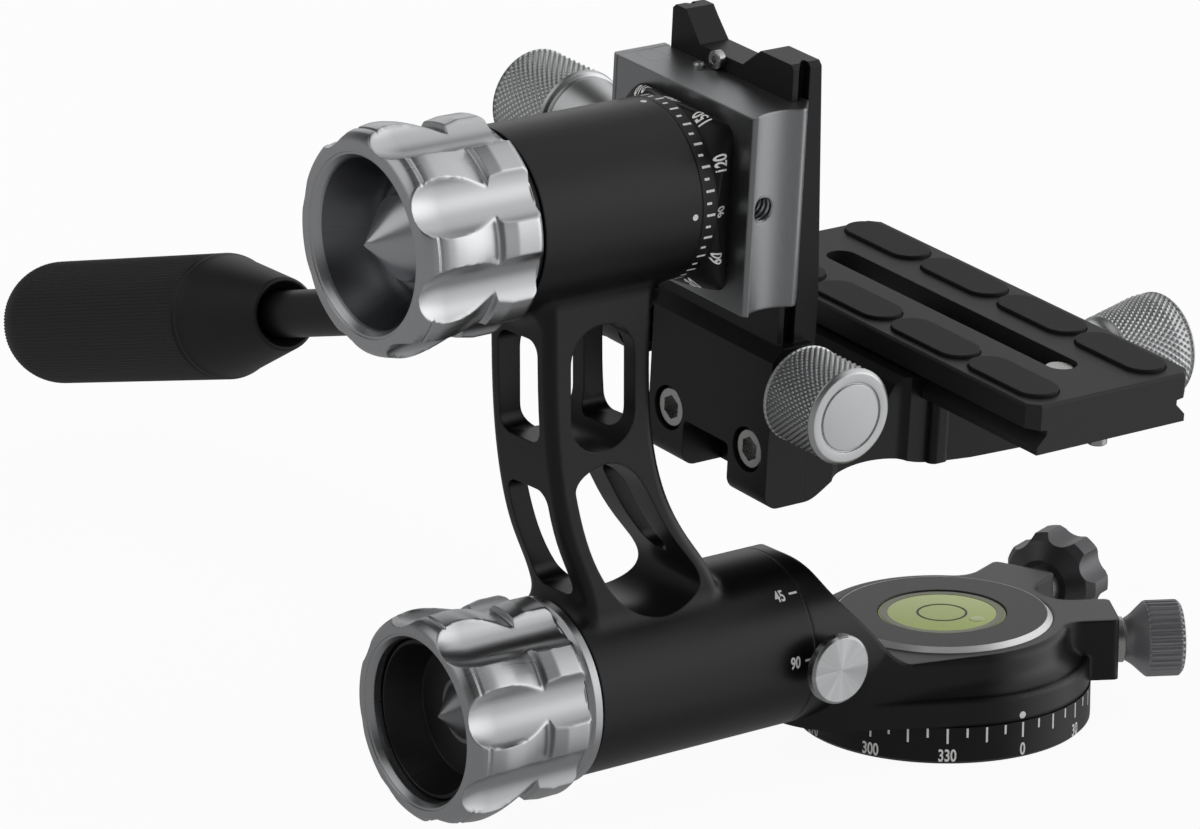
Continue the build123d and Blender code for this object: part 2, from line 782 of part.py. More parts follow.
def clamp_jaw():
    """Sliding jaw: a thin plate over the block's end with a hook behind the bar's edge."""
    hook_x = BAR_FACE + LAND
    inner = CLAMP_FRONT + 0.1
    outer = inner + JAW_PLATE
    with BuildPart() as jaw:
        with BuildSketch(Plane.XY.offset(CLAMP_LOW)):
            with BuildLine():
                Polyline(
                    (CLAMP_LEFT, inner), (CLAMP_RIGHT + 0.2, inner), (CLAMP_RIGHT + 0.2, outer),
                    (CLAMP_LEFT + 0.7, outer), (CLAMP_LEFT, outer - 0.7), close=True,
                )
            make_face()
        extrude(amount=CLAMP_HIGH - CLAMP_LOW)
        with BuildSketch(Plane.XY.offset(CLAMP_LOW + 4.0)):
            with BuildLine():
                Polyline(
                    (-55.9, outer - 0.5), (CLAMP_RIGHT, outer - 0.5), (CLAMP_RIGHT, inner),
                    (hook_x + 0.05, BAR_FRONT_Y + 0.2),
                    (hook_x + 1.65, BAR_FRONT_Y - 1.4),
                    (hook_x + 2.2, BAR_FRONT_Y - 1.4),
                    (hook_x + 2.2, BAR_FRONT_Y + 3.2),
                    (-53.0, outer + 1.7),
                    (-55.9, outer + 1.7),
                    close=True,
                )
            make_face()
        extrude(amount=CLAMP_HIGH - CLAMP_LOW - 8.0)
        with BuildSketch(Plane.XZ.offset(-outer)):
            with Locations((CLAMP_STUD_X, TILT_Z)):
                Circle(3.0 + RUN)
            with Locations((-60.5, TILT_Z - 13.0), (-60.5, TILT_Z + 13.0)):
                Circle(2.0)
        extrude(amount=5.0, both=True, mode=Mode.SUBTRACT)
    return tilted(jaw.part)


def clamp_guides():
    """Two pins fixed in the jaw that slide in the block."""
    with BuildPart() as pins:
        with BuildSketch(Plane.XZ.offset(-CLAMP_FRONT - 0.1 - JAW_PLATE)):
            with Locations((-60.5, TILT_Z - 13.0), (-60.5, TILT_Z + 13.0)):
                Circle(2.0)
        extrude(amount=18.0)
    return tilted(pins.part)


def clamp_stud():
    """Screw of the clamp knob, through the jaw into the block."""
    stud = turned((0, 0), (3.0, 0), (3.0, 22.0), (5.4, 22.0), (5.4, 23.6), (0, 23.6))
    return tilted(placed(stud, (CLAMP_STUD_X, 1.6, TILT_Z), (0, 1, 0)))


def clamp_knob():
    """Knurled knob with a long smooth collar."""
    with BuildPart() as knob:
        with BuildSketch(Plane.XZ):
            with BuildLine():
                Polyline(
                    (0, 0), (7.0, 0), (7.0, 2.6), (7.4, 3.6), (9.4, 11.2), (9.2, 11.6), (9.2, 12.4),
                    (9.9, 12.8), (10.2, 13.4), (10.2, 28.3), (9.4, 29.1), (0, 29.1), close=True,
                )
            make_face()
        revolve(axis=Axis.Z)
    return tilted(placed(knob.part, (CLAMP_STUD_X, 25.3, TILT_Z), (0, 1, 0)))


# ---------------------------------------------------------------- cradle bar and platform


def bar_section():
    """Plan of the bar: front land, dovetail undercut and rear flange on both edges."""
    rear = BAR_REAR_LOW
    land = BAR_FACE + LAND
    with BuildSketch(Plane.XY.offset(BLOCK_STEP)) as plan:
        with BuildLine():
            Polyline(
                (BAR_FACE, BAR_BACK_Y), (land, BAR_BACK_Y), (land + LIP, BAR_BACK_Y + LIP),
                (FLANGE_X, BAR_BACK_Y + LIP), (FLANGE_X, BAR_BACK_Y), (rear, BAR_BACK_Y),
                (rear, BAR_FRONT_Y), (FLANGE_X, BAR_FRONT_Y), (FLANGE_X, BAR_FRONT_Y - LIP),
                (land + LIP, BAR_FRONT_Y - LIP), (land, BAR_FRONT_Y), (BAR_FACE, BAR_FRONT_Y),
                close=True,
            )
        make_face()
    return plan.sketch


def cradle_bar():
    """Upright dovetail bar with a saddle top and a block with two screw lobes at its foot."""
    with BuildPart() as bar:
        add(bar_section())
        extrude(amount=160 - BLOCK_STEP)
        # saddle: two horns with a valley between them
        with BuildSketch(Plane.YZ.offset(BAR_FACE - 1)):
            with BuildLine():
                Polyline(
                    (BAR_FRONT_Y + 1, 165), (BAR_FRONT_Y + 1, 147.6), (BAR_FRONT_Y, 148.2),
                    (20.3, 149.0), (17.2, 149.0), (12.2, 143.3), (-1.3, 143.3), (-6.6, 147.5),
                    (-16.0, 147.5), (BAR_BACK_Y, 146.6), (BAR_BACK_Y - 1, 146.0), (BAR_BACK_Y - 1, 165),
                    close=True,
                )
            make_face()
        extrude(amount=20, mode=Mode.SUBTRACT)
        # rear face leans forward towards the top
        with BuildSketch(Plane.XZ):
            with BuildLine():
                Polyline(
                    (BAR_REAR_TOP, 165), (BAR_REAR_TOP, 147), (BAR_REAR_LOW, 101), (BAR_REAR_LOW + 3, 101),
                    (BAR_REAR_LOW + 3, 165), close=True,
                )
            make_face()
        extrude(amount=30, both=True, mode=Mode.SUBTRACT)
        # foot block, thicker towards the front, with a step line across it
        with BuildSketch(Plane.XZ):
            with BuildLine():
                Polyline(
                    (BLOCK_FACE, BLOCK_STEP - 1), (BLOCK_FACE, BLOCK_TOP - 2.5), (BAR_FACE, BLOCK_TOP),
                    (BLOCK_REAR, BLOCK_TOP), (BLOCK_REAR, BLOCK_STEP - 1), close=True,
                )
            make_face()
        extrude(amount=BLOCK_HALF, both=True)
        with BuildSketch(Plane.XZ) as side:
            with Locations(((BLOCK_FACE + BLOCK_REAR) / 2, (BLOCK_LOW + BLOCK_STEP) / 2)):
                Rectangle(BLOCK_REAR - BLOCK_FACE, BLOCK_STEP - BLOCK_LOW)
            fillet(side.vertices().group_by(Axis.Y)[0].sort_by(Axis.X)[0], 3.2)
        extrude(amount=BLOCK_HALF, both=True)
        with BuildSketch(Plane.YZ.offset(BLOCK_FACE)):
            with Locations((sum(LOBE_GAP) / 2, LOBE_GAP_TOP - 10.0)):
                RectangleRounded(LOBE_GAP[1] - LOBE_GAP[0], 20.0, 1.2)
        extrude(amount=BLOCK_REAR - BLOCK_FACE, mode=Mode.SUBTRACT)
        # platform screws from the front
        with BuildSketch(Plane.YZ.offset(BLOCK_FACE)):
            with Locations((-LUG_Y, LUG_Z), (LUG_Y, LUG_Z)):
                Circle(4.5)
        extrude(amount=5.2, mode=Mode.SUBTRACT)
        with BuildSketch(Plane.YZ.offset(BLOCK_FACE)):
            with Locations((-LUG_Y, LUG_Z), (LUG_Y, LUG_Z)):
                Circle(2.6)
        extrude(amount=15, mode=Mode.SUBTRACT)
        # handle bolt across, and the stop screw in the saddle
        with BuildSketch(Plane.XZ):
            with Locations((BOLT_X, BOLT_Z)):
                Circle(3.0 + RUN)
        extrude(amount=40, both=True, mode=Mode.SUBTRACT)
        with BuildSketch(Plane.YZ.offset(BAR_FACE)):
            with Locations((5.6, STOP_Z)):
                Circle(0.8)
        extrude(amount=5.0, mode=Mode.SUBTRACT)
    return tilted(bar.part)


def bar_stop_screw():
    """Screw in the saddle that stops the bar on top of the clamp."""
    screw = socket_screw(1.85, 1.6, 0.78, 4.8, 0.8)
    return tilted(placed(screw, (BAR_FACE + 4.8, 5.6, STOP_Z), (-1, 0, 0)))


def platform():
    """Arm from the bar's foot under the plate, with the fixed jaw of the plate clamp."""
    jaw_x = -FOOT_HALF - 0.15
    with BuildPart() as arm:
        with BuildSketch(Plane.XZ):
            with BuildLine():
                under = Spline(
                    (BLOCK_REAR, BLOCK_LOW), (-43.6, 59.3), (-38.6, 62.2), (-22.0, 62.4), (-14.0, 60.6),
                    tangents=[(1, 0), (1, -0.15)],
                )
                Polyline(
                    under @ 1, (-5.0, 59.8), (PLATFORM_END, 59.0), (PLATFORM_END, PLATFORM_TOP),
                    (jaw_x, PLATFORM_TOP), (jaw_x, PLATE_LOW + FOOT_LAND + 0.1),
                    (jaw_x + 1.9, PLATE_LOW + FOOT_LAND + 2.0), (jaw_x + 1.9, 79.6), (-22.6, 79.6),
                    (-24.6, 78.4), (-26.4, 75.6), (-29.0, 75.3), (-44.0, 75.3), (BLOCK_REAR, 74.6),
                    (BLOCK_REAR, BLOCK_LOW),
                )
            make_face()
        extrude(amount=BLOCK_HALF, both=True)
        # waisted flanks between the foot and the clamp, with an upright rib on each side
        for side in (-1, 1):
            with BuildSketch(Plane.XY.offset(55)):
                with Locations((-30.5, side * (BLOCK_HALF + 11.0))):
                    RectangleRounded(20.0, 24.0, 3.0)
            extrude(amount=30, mode=Mode.SUBTRACT)
            with BuildSketch(Plane.XY.offset(61.0)):
                with Locations((-14.2, side * (BLOCK_HALF + 0.2))):
                    RectangleRounded(4.6, 3.2, 1.5)
            extrude(amount=13.2)
        # threads for the two platform screws and the plate stud with its guides
        with BuildSketch(Plane.YZ.offset(BLOCK_REAR)):
            with Locations((-LUG_Y, LUG_Z), (LUG_Y, LUG_Z)):
                Circle(2.55)
        extrude(amount=7.0, mode=Mode.SUBTRACT)
        with BuildSketch(Plane.YZ.offset(PLATFORM_END)):
            with Locations((PLATE_KNOB_Y, PLATE_KNOB_Z)):
                Circle(3.0 + RUN)
            with Locations(*PLATE_GUIDES):
                Circle(1.5 + RUN)
        extrude(amount=-18.0, mode=Mode.SUBTRACT)
    return tilted(arm.part)


def platform_screws():
    """Two cap screws through the lobes into the platform."""
    screw = socket_screw(4.2, 4.6, 2.5, 10.6, 2.5)
    spots = [(BLOCK_FACE + 5.2 + 10.6, y, LUG_Z) for y in (-LUG_Y, LUG_Y)]
    return Compound(children=[tilted(placed(screw, spot, (-1, 0, 0))) for spot in spots])


# ---------------------------------------------------------------- handle


def handle_knob():
    """Knurled knob with a flat cap."""
    with BuildPart() as knob:
        with BuildSketch(Plane.XZ):
            with BuildLine():
                Polyline((0, 0), (9.0, 0), (9.6, 0.6), (9.6, 14.6), (8.9, 15.3), (0, 15.3), close=True)
            make_face()
        revolve(axis=Axis.Z)
        with BuildSketch(Plane.XY.offset(15.3)):
            Circle(7.0)
            Circle(6.65, mode=Mode.SUBTRACT)
        extrude(amount=-0.35, mode=Mode.SUBTRACT)
    return tilted(placed(knob.part, (BOLT_X, -22.3, BOLT_Z), (0, -1, 0)))


def handle_bolt():
    """Through-bolt turned by the handle knob, with a shoulder against the bar."""
    bolt = turned(
        (0, 0), (3.0, 0), (3.0, 50.4), (4.8, 50.4), (4.8, 53.6), (0, 53.6),
    )
    return tilted(placed(bolt, (BOLT_X, 31.3, BOLT_Z), (0, -1, 0)))


def handle_way():
    """Direction of the handle rod, level cradle."""
    drop = math.radians(HANDLE_DROP)
    return Vector(0, math.cos(drop), -math.sin(drop))


def handle_socket():
    """Swivel foot of the handle on the bolt, bored on the slant for the rod."""
    way = handle_way()
    root = Vector(*HANDLE_ROOT)
    with BuildPart() as foot:
        with BuildSketch(Plane.XZ.offset(-21.3)):
            with Locations((BOLT_X, BOLT_Z)):
                Circle(5.0)
        extrude(amount=-5.0)
        with BuildSketch(Plane.XZ.offset(-26.2)):
            with Locations((BOLT_X, BOLT_Z)):
                Circle(8.0)
        extrude(amount=-7.2)
        with BuildSketch(Plane(origin=root, z_dir=way)):
            Circle(7.0)
        extrude(amount=9.0)
        with BuildSketch(Plane.XZ.offset(-21.0)):
            with Locations((BOLT_X, BOLT_Z)):
                Circle(3.0 + RUN)
        extrude(amount=-10.4, mode=Mode.SUBTRACT)
        with BuildSketch(Plane(origin=root + way * 2.5, z_dir=way)):
            Circle(ROD_R)
        extrude(amount=12.0, mode=Mode.SUBTRACT)
    return tilted(foot.part)


def handle_rod():
    """Round rod from the socket into the grip."""
    way = handle_way()
    rod = turned((0, 0), (ROD_R, 0), (ROD_R, 150.0), (0, 150.0))
    return tilted(placed(rod, Vector(*HANDLE_ROOT) + way * 2.6, way))


def handle_grip():
    """Grip with a recessed coned end, a fine shoulder groove and a domed tip."""
    way = handle_way()
    start = 129.7
    with BuildPart() as grip:
        with BuildSketch(Plane.XZ):
            with BuildLine():
                Polyline((0, 24.0), (ROD_R, 24.0), (ROD_R, 4.0), (6.6, 1.0))
                ThreePointArc((6.6, 1.0), (7.2, 0.1), (7.9, 0.4))
                Polyline((7.9, 0.4), (13.2, 22.0), (GRIP_R, 23.0), (GRIP_R, 24.0))
                Polyline((GRIP_R, 24.0), (13.3, 24.3), (13.3, 25.0), (GRIP_R, 25.3), (GRIP_R, 93.6))
                dome = GRIP_R * math.sqrt(0.5)
                ThreePointArc((GRIP_R, 93.6), (dome, 93.6 + dome), (0, 93.6 + GRIP_R))
                Line((0, 93.6 + GRIP_R), (0, 24.0))
            make_face()
        revolve(axis=Axis.Z)
    return tilted(placed(grip.part, Vector(*HANDLE_ROOT) + way * start, way))


# ---------------------------------------------------------------- plate clamp and plate


def plate_jaw():
    """Sliding jaw of the plate clamp."""
    jaw_x = FOOT_HALF + 0.15
    with BuildPart() as jaw:
        with BuildSketch(Plane.XZ):
            with BuildLine():
                Polyline(
                    (PLATFORM_END + 0.1, 60.0), (27.4, 60.0), (27.4, 76.0), (24.6, 79.6),
                    (jaw_x - 1.9, 79.6), (jaw_x - 1.9, PLATE_LOW + FOOT_LAND + 2.0),
                    (jaw_x, PLATE_LOW + FOOT_LAND + 0.1), (jaw_x, PLATFORM_TOP + 0.1),
                    (PLATFORM_END + 0.1, PLATFORM_TOP + 0.1), close=True,
                )
            make_face()
        extrude(amount=BLOCK_HALF - 0.3, both=True)
        with BuildSketch(Plane.YZ.offset(PLATFORM_END)):
            with Locations((PLATE_KNOB_Y, PLATE_KNOB_Z)):
                Circle(3.0 + RUN)
            with Locations(*PLATE_GUIDES):
                Circle(1.5)
        extrude(amount=12.0, mode=Mode.SUBTRACT)
    return tilted(jaw.part)


def plate_guides():
    """Two pins fixed in the plate jaw."""
    with BuildPart() as pins:
        with BuildSketch(Plane.YZ.offset(27.4)):
            with Locations(*PLATE_GUIDES):
                Circle(1.5)
        extrude(amount=-20.0)
    return tilted(pins.part)


def plate_stud():
    """Screw of the plate knob."""
    stud = turned((0, 0), (3.0, 0), (3.0, 24.0), (5.0, 24.0), (5.0, 25.2), (0, 25.2))
    return tilted(placed(stud, (4.4, PLATE_KNOB_Y, PLATE_KNOB_Z), (1, 0, 0)))


def plate_knob():
    """Knurled knob that flares outwards from a smooth collar."""
    with BuildPart() as knob:
        with BuildSketch(Plane.XZ):
            with BuildLine():
                Polyline((0, 0), (7.2, 0), (7.5, 0.4), (7.5, 3.0), (8.6, 4.6), (10.9, 16.5), (10.9, 19.6))
                Polyline((10.9, 19.6), (10.2, 20.4), (0, 20.4), (0, 0))
            make_face()
        revolve(axis=Axis.Z)
    return tilted(placed(knob.part, (29.6, PLATE_KNOB_Y, PLATE_KNOB_Z), (1, 0, 0)))


def quick_plate():
    """Dovetail plate with a long slot and a wider channel beneath it."""
    with BuildPart() as plate:
        slab_low = PLATE_TOP - SLAB
        neck_low = PLATE_LOW + FOOT_LAND + FOOT_HALF - NECK_HALF
        with BuildSketch(Plane.XZ.offset(-PLATE_FRONT)):
            with BuildLine():
                half = [
                    (FOOT_HALF, PLATE_LOW), (FOOT_HALF, PLATE_LOW + FOOT_LAND), (NECK_HALF, neck_low),
                    (NECK_HALF, slab_low - 0.5), (PLATE_HALF, slab_low), (PLATE_HALF, PLATE_TOP),
                ]
                other = [(-x, z) for x, z in reversed(half)]
                Polyline(*half, *other, close=True)
            make_face()
        extrude(amount=PLATE_FRONT - PLATE_BACK)
        corners = plate.edges().filter_by(Axis.Z).filter_by(lambda e: abs(e.center().X) > PLATE_HALF - 0.1)
        chamfer(corners, 2.2)
        chamfer(plate.faces().sort_by(Axis.Z)[-1].edges(), 0.45)
        with BuildSketch(Plane.XY.offset(PLATE_TOP)):
            with Locations((0, (SLOT_BACK + SLOT_FRONT) / 2)):
                SlotOverall(SLOT_FRONT - SLOT_BACK, SLOT_W, rotation=90)
        extrude(amount=-12.0, mode=Mode.SUBTRACT)
        with BuildSketch(Plane.XY.offset(PLATE_LOW)):
            with Locations((0, (SLOT_BACK + SLOT_FRONT) / 2)):
                SlotOverall(SLOT_FRONT - SLOT_BACK + 8.2, CHANNEL_W, rotation=90)
        extrude(amount=4.6, mode=Mode.SUBTRACT)
        with BuildSketch(Plane.XY.offset(PLATE_LOW)):
            with Locations((0, PLATE_BACK + 3.9), (0, PLATE_FRONT - 3.9)):
                Circle(1.5)
        extrude(amount=3.5, mode=Mode.SUBTRACT)
        with BuildSketch(Plane.XY.offset(PLATE_TOP)):
            add(pad_layout(0.2))
        extrude(amount=-0.8, mode=Mode.SUBTRACT)
    return tilted(plate.part)


def pad_layout(margin):
    """Plan of the eight oval pads."""
    with BuildSketch() as plan:
        with Locations(*[(x, y) for x in (-13.4, 13.4) for y in (33.0, 8.4, -15.8, -39.6)]):
            SlotOverall(22.4 + 2 * margin, 8.8 + 2 * margin, rotation=90)
    return plan.sketch


def plate_pads():
    """Eight rubber pads set in pockets of the plate."""
    with BuildPart() as pads:
        with BuildSketch(Plane.XY.offset(PLATE_TOP - 0.75)):
            add(pad_layout(0.0))
        extrude(amount=1.45)
    return tilted(pads.part)


def plate_stop_screws():
    """Two small screws beneath the plate that stop it in the clamp."""
    screw = socket_screw(2.0, 2.4, 1.45, 3.2, 1.0)
    spots = [(0, y, PLATE_LOW + 3.2) for y in (PLATE_BACK + 3.9, PLATE_FRONT - 3.9)]
    return Compound(children=[tilted(placed(screw, spot, (0, 0, -1))) for spot in spots])


def camera_screw():
    """Captive screw in the slot, its head in the channel beneath."""
    screw = turned((0, 0), (6.8, 0), (6.8, 3.2), (3.1, 3.2), (3.1, 8.2), (2.6, 8.7), (0, 8.7))
    return tilted(screw.moved(Location((0, -37.4, PLATE_LOW + 0.5))))


PIECES = {
    "base_dial": base_dial,
    "pan_spindle": pan_spindle,
    "base_screws": base_screws,
    "pan_washer": lambda: ring(20.2, 26.8, BASE_H - 0.5, HOUSING_Z - RUN),
    "pan_retainer": pan_retainer,
    "retainer_screws": retainer_screws,
    "pan_housing": pan_housing,
    "level_cover": level_cover,
    "level_vial": level_vial,
    "lock_shoe": lambda: brake_shoe(LOCK_ANGLE),
    "drag_shoe": lambda: brake_shoe(DRAG_ANGLE),
    "pan_lock_knob": pan_lock_knob,
    "pan_lock_stud": pan_lock_stud,
    "pan_drag_knob": pan_drag_knob,
    "pan_drag_stud": pan_drag_stud,
    "fold_shaft": fold_shaft,
    "fold_bush_inner": lambda: fold_bush(-46.2),
    "fold_bush_outer": lambda: fold_bush(-87.0),
    "fold_lock_button": fold_lock_button,
    "fold_lock_spring": fold_lock_spring,
    "fold_knob": fold_knob,
    "fold_knob_hub": fold_knob_hub,
    "fold_flange": fold_flange,
    "swing_arm": swing_arm,
    "tilt_bearing_inner": lambda: tilt_bearing(-74.4),
    "tilt_bearing_outer": lambda: tilt_bearing(-104.0),
    "tilt_shaft": tilt_shaft,
    "tilt_flange": tilt_flange,
    "tilt_knob": tilt_knob,
    "tilt_knob_hub": tilt_knob_hub,
    "tilt_dial": tilt_dial,
    "clamp_body": clamp_body,
    "clamp_pin": clamp_pin,
    "clamp_jaw": clamp_jaw,
    "clamp_guides": clamp_guides,
    "clamp_stud": clamp_stud,
    "clamp_knob": clamp_knob,
    "cradle_bar": cradle_bar,
    "bar_stop_screw": bar_stop_screw,
    "platform": platform,
    "platform_screws": platform_screws,
    "handle_knob": handle_knob,
    "handle_bolt": handle_bolt,
    "handle_socket": handle_socket,
    "handle_rod": handle_rod,
    "handle_grip": handle_grip,
    "plate_jaw": plate_jaw,
    "plate_guides": plate_guides,
    "plate_stud": plate_stud,
    "plate_knob": plate_knob,
    "quick_plate": quick_plate,
    "plate_pads": plate_pads,
    "plate_stop_screws": plate_stop_screws,
    "camera_screw": camera_screw,
}

for name, make in PIECES.items():
    piece = make()
    piece.label = name
    export_step(piece, f"parts/{name}.step")
    print(name, round(piece.volume))
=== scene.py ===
"""Dresses a gimbal tripod head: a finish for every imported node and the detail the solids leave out.

Sizes are millimetres until a mesh is made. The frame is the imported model's: +Z up along the pan axis,
+X along the two tube axes towards the plate, +Y along the lens axis towards the handle. The cradle group
is written level and turned to its rest tilt as it is placed.
"""

import logging
import math
from dataclasses import dataclass, replace
from enum import Enum
from typing import Callable, Iterator, Sequence

import bmesh
import bpy
import numpy as np
from bpy.types import ID, Material, Node, NodeSocket, NodeTree, Object
from mathutils import Matrix, Vector


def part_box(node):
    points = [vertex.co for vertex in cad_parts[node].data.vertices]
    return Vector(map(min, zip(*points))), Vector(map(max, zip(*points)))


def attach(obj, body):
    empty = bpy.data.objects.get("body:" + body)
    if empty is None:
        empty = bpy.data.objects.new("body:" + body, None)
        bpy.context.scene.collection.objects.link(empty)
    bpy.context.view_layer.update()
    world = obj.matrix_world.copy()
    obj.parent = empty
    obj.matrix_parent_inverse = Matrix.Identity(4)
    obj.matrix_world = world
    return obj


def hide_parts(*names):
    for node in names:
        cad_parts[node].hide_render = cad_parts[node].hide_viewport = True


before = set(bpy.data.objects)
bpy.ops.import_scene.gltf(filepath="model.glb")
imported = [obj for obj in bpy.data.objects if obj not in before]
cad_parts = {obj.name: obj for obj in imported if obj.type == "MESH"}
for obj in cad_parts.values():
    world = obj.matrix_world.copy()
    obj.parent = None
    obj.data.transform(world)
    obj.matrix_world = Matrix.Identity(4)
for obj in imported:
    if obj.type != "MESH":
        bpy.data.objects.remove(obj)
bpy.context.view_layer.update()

LOG = logging.getLogger("gimbal_head")
Array = np.ndarray
Vec3 = tuple[float, float, float]
# points in millimetres, and the corner numbers of each face
Surface = tuple[Array, Array]
WHITE = (1.0, 1.0, 1.0, 1.0)
MM = 0.001
# heights of the fold and tilt axes, and the cradle's tilt at rest
FOLD_Z, TILT_Z = 25.7, 121.3
REST_TILT = math.radians(4.43)
# radii of the lower tube, and of the upper tube's end and its dial
TUBE_R, DIAL_R = 17.6, 17.7
# in metres: corners nearer than the first are merged, edges shorter than the second dissolved
WELD, SLIVER = 2e-7, 1e-7
# in millimetres: patches of a finish's mottle
PATCH = 14.0
# rows of a diamond knurl in millimetres, and columns to each of its diamonds or of the grip's ribs
KNURL_ROW, RIB_COLUMNS = 0.21, 6


class Slot(Enum):
    """The record's material slots that the pieces made here belong to."""

    BLACK = "black_anodised"
    CASTING = "black_casting"
    GREY = "grey_anodised"
    SILVER = "silver_anodised"
    BRUSHED = "brushed_silver"
    GRIP = "grip"
    FLUID = "level_fluid"


# -------- placing and meshes


def tilted(points: Array) -> Array:
    """Turns level cradle points to the rest tilt, about the X line through the tilt axis.

    Args:
        points: n by 3 array in millimetres.

    Returns:
        The turned points.
    """
    c, s = math.cos(REST_TILT), math.sin(REST_TILT)
    x, y, z = points[:, 0], points[:, 1], points[:, 2] - TILT_Z
    return np.column_stack([x, c * y - s * z, TILT_Z + s * y + c * z])


@dataclass(frozen=True)
class Axis:
    """A line that a turned piece is made along, and whether it stays level or tilts with the cradle."""

    origin: Vec3
    toward: Vec3
    level: bool = True

    def basis(self) -> Array:
        """Rows are the local X, Y and Z directions, before the rest tilt."""
        z = np.array(self.toward, float)
        z /= np.linalg.norm(z)
        x = np.cross((0.0, 0.0, 1.0), z)
        if not x.any():
            x = np.array((1.0, 0.0, 0.0))
        x /= np.linalg.norm(x)
        return np.array([x, np.cross(z, x), z])

    def place(self, points: Array) -> Array:
        """Moves points from the axis's own frame, where it runs up Z, to the model's frame."""
        moved = points @ self.basis() + np.array(self.origin)
        return moved if self.level else tilted(moved)

    def frame(self) -> Matrix:
        """The axis's own frame in metres, for a Mapping node."""
        corners = self.place(np.array([[0, 0, 0], [1, 0, 0], [0, 1, 0], [0, 0, 1]], float))
        turn = (corners[1:] - corners[0]).T
        return Matrix.Translation(Vector(corners[0] * MM)) @ Matrix(turn.tolist()).to_4x4()

PAN = Axis((0, 0, 0), (0, 0, 1))


def added(name: str, data: ID) -> Object:
    """A new object in the scene, of a mesh, a light or a camera."""
    made = bpy.data.objects.new(name, data)
    bpy.context.scene.collection.objects.link(made)
    return made


def piece(
    name: str,
    points: Array,
    faces: Sequence,
    body: str,
    finish: "Finish",
    slot: Slot,
    replaces: Sequence[str] = (),
    sharp: float = 32.0,
) -> None:
    """Makes one finished piece, its doubles merged and its faces turned outwards.

    Args:
        name: the piece's name.
        points: n by 3 array in millimetres, in the model's frame.
        faces: corner numbers of each face.
        body: the body it moves with.
        finish: its surface.
        slot: the record's slot for that surface.
        replaces: nodes that it stands for.
        sharp: degrees of turn above which an edge stays sharp.
    """
    mesh = bpy.data.meshes.new(name)
    corners = faces.tolist() if isinstance(faces, Array) else faces
    mesh.from_pydata((points * MM).tolist(), [], corners)
    shell = bmesh.new()
    shell.from_mesh(mesh)
    bmesh.ops.remove_doubles(shell, verts=shell.verts, dist=WELD)
    bmesh.ops.dissolve_degenerate(shell, edges=shell.edges, dist=SLIVER)
    bmesh.ops.recalc_face_normals(shell, faces=shell.faces)
    shell.to_mesh(mesh)
    shell.free()
    mesh.polygons.foreach_set("use_smooth", np.ones(len(mesh.polygons), bool))
    mesh.set_sharp_from_angle(angle=math.radians(sharp))
    made = added(name, mesh)
    mesh.materials.append(finish.material())
    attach(made, body)
    if replaces:
        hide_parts(*replaces)


def grid_faces(rows: int, columns: int) -> Array:
    """Quads of a grid whose columns close on themselves.

    Args:
        rows: rows of points.
        columns: points in each row.

    Returns:
        Four corner numbers a face: a point, its neighbour in the row, and the two above them.
    """
    row, column = np.meshgrid(np.arange(rows - 1), np.arange(columns), indexing="ij")
    here = row * columns + column
    beside = row * columns + (column + 1) % columns
    return np.stack([here, beside, beside + columns, here + columns], -1).reshape(-1, 4)


def turned(profile: Array, columns: int, relief: Callable | None = None) -> Surface:
    """A turned surface: each profile point goes round Z, and relief is added to its radius.

    Args:
        profile: n by 2 array of radius and height.
        columns: points round each ring.
        relief: function of the radius, height and angle arrays that gives the change of radius.

    Returns:
        Points and faces.
    """
    angle = np.arange(columns) * 2 * np.pi / columns
    r, a = np.meshgrid(profile[:, 0], angle, indexing="ij")
    z = np.repeat(profile[:, 1:2], columns, axis=1)
    if relief is not None:
        r = r + relief(r, z, a)
    points = np.stack([r * np.cos(a), r * np.sin(a), z], -1).reshape(-1, 3)
    return points, grid_faces(len(profile), columns)


def rounded(corners: Sequence[Vec3]) -> Array:
    """A profile whose corners are rounded by quadratic curves.

    Args:
        corners: radius, height and rounding of each corner, in order.

    Returns:
        The profile: at a corner with rounding d, the curve runs from d before it to d after it.
    """
    steps, least = 4, 1e-4
    spots = np.array(corners, float)
    out = [spots[0, :2]]
    for before, here, after in zip(spots[:-2], spots[1:-1], spots[2:]):
        back, on = before[:2] - here[:2], after[:2] - here[:2]
        reach = min(here[2], np.linalg.norm(back) * 0.5, np.linalg.norm(on) * 0.5)
        if reach < least:
            out.append(here[:2])
            continue
        start = here[:2] + back / np.linalg.norm(back) * reach
        end = here[:2] + on / np.linalg.norm(on) * reach
        t = np.linspace(0, 1, steps + 1)[:, None]
        out.extend((1 - t) ** 2 * start + 2 * t * (1 - t) * here[:2] + t**2 * end)
    out.append(spots[-1, :2])
    return np.array(out)


def divided(profile: Array, low: float, high: float, step: float) -> Array:
    """A profile with a stretch of it in short steps.

    Args:
        profile: n by 2 array of radius and height.
        low: height where the stretch starts.
        high: height where it ends.
        step: greatest length of a step there.

    Returns:
        The profile, with points added.
    """
    slack = 1e-6
    out = [profile[:1]]
    for a, b in zip(profile[:-1], profile[1:]):
        inside = min(a[1], b[1]) >= low - slack and max(a[1], b[1]) <= high + slack
        count = max(1, math.ceil(np.linalg.norm(b - a) / step)) if inside else 1
        out.append(a + (b - a) * (np.arange(1, count + 1) / count)[:, None])
    return np.vstack(out)


def saw(t: Array) -> Array:
    """Triangle wave that is 0 at whole numbers and 1 halfway between."""
    return 1 - np.abs(2 * (t - np.floor(t)) - 1)


# -------- finishes


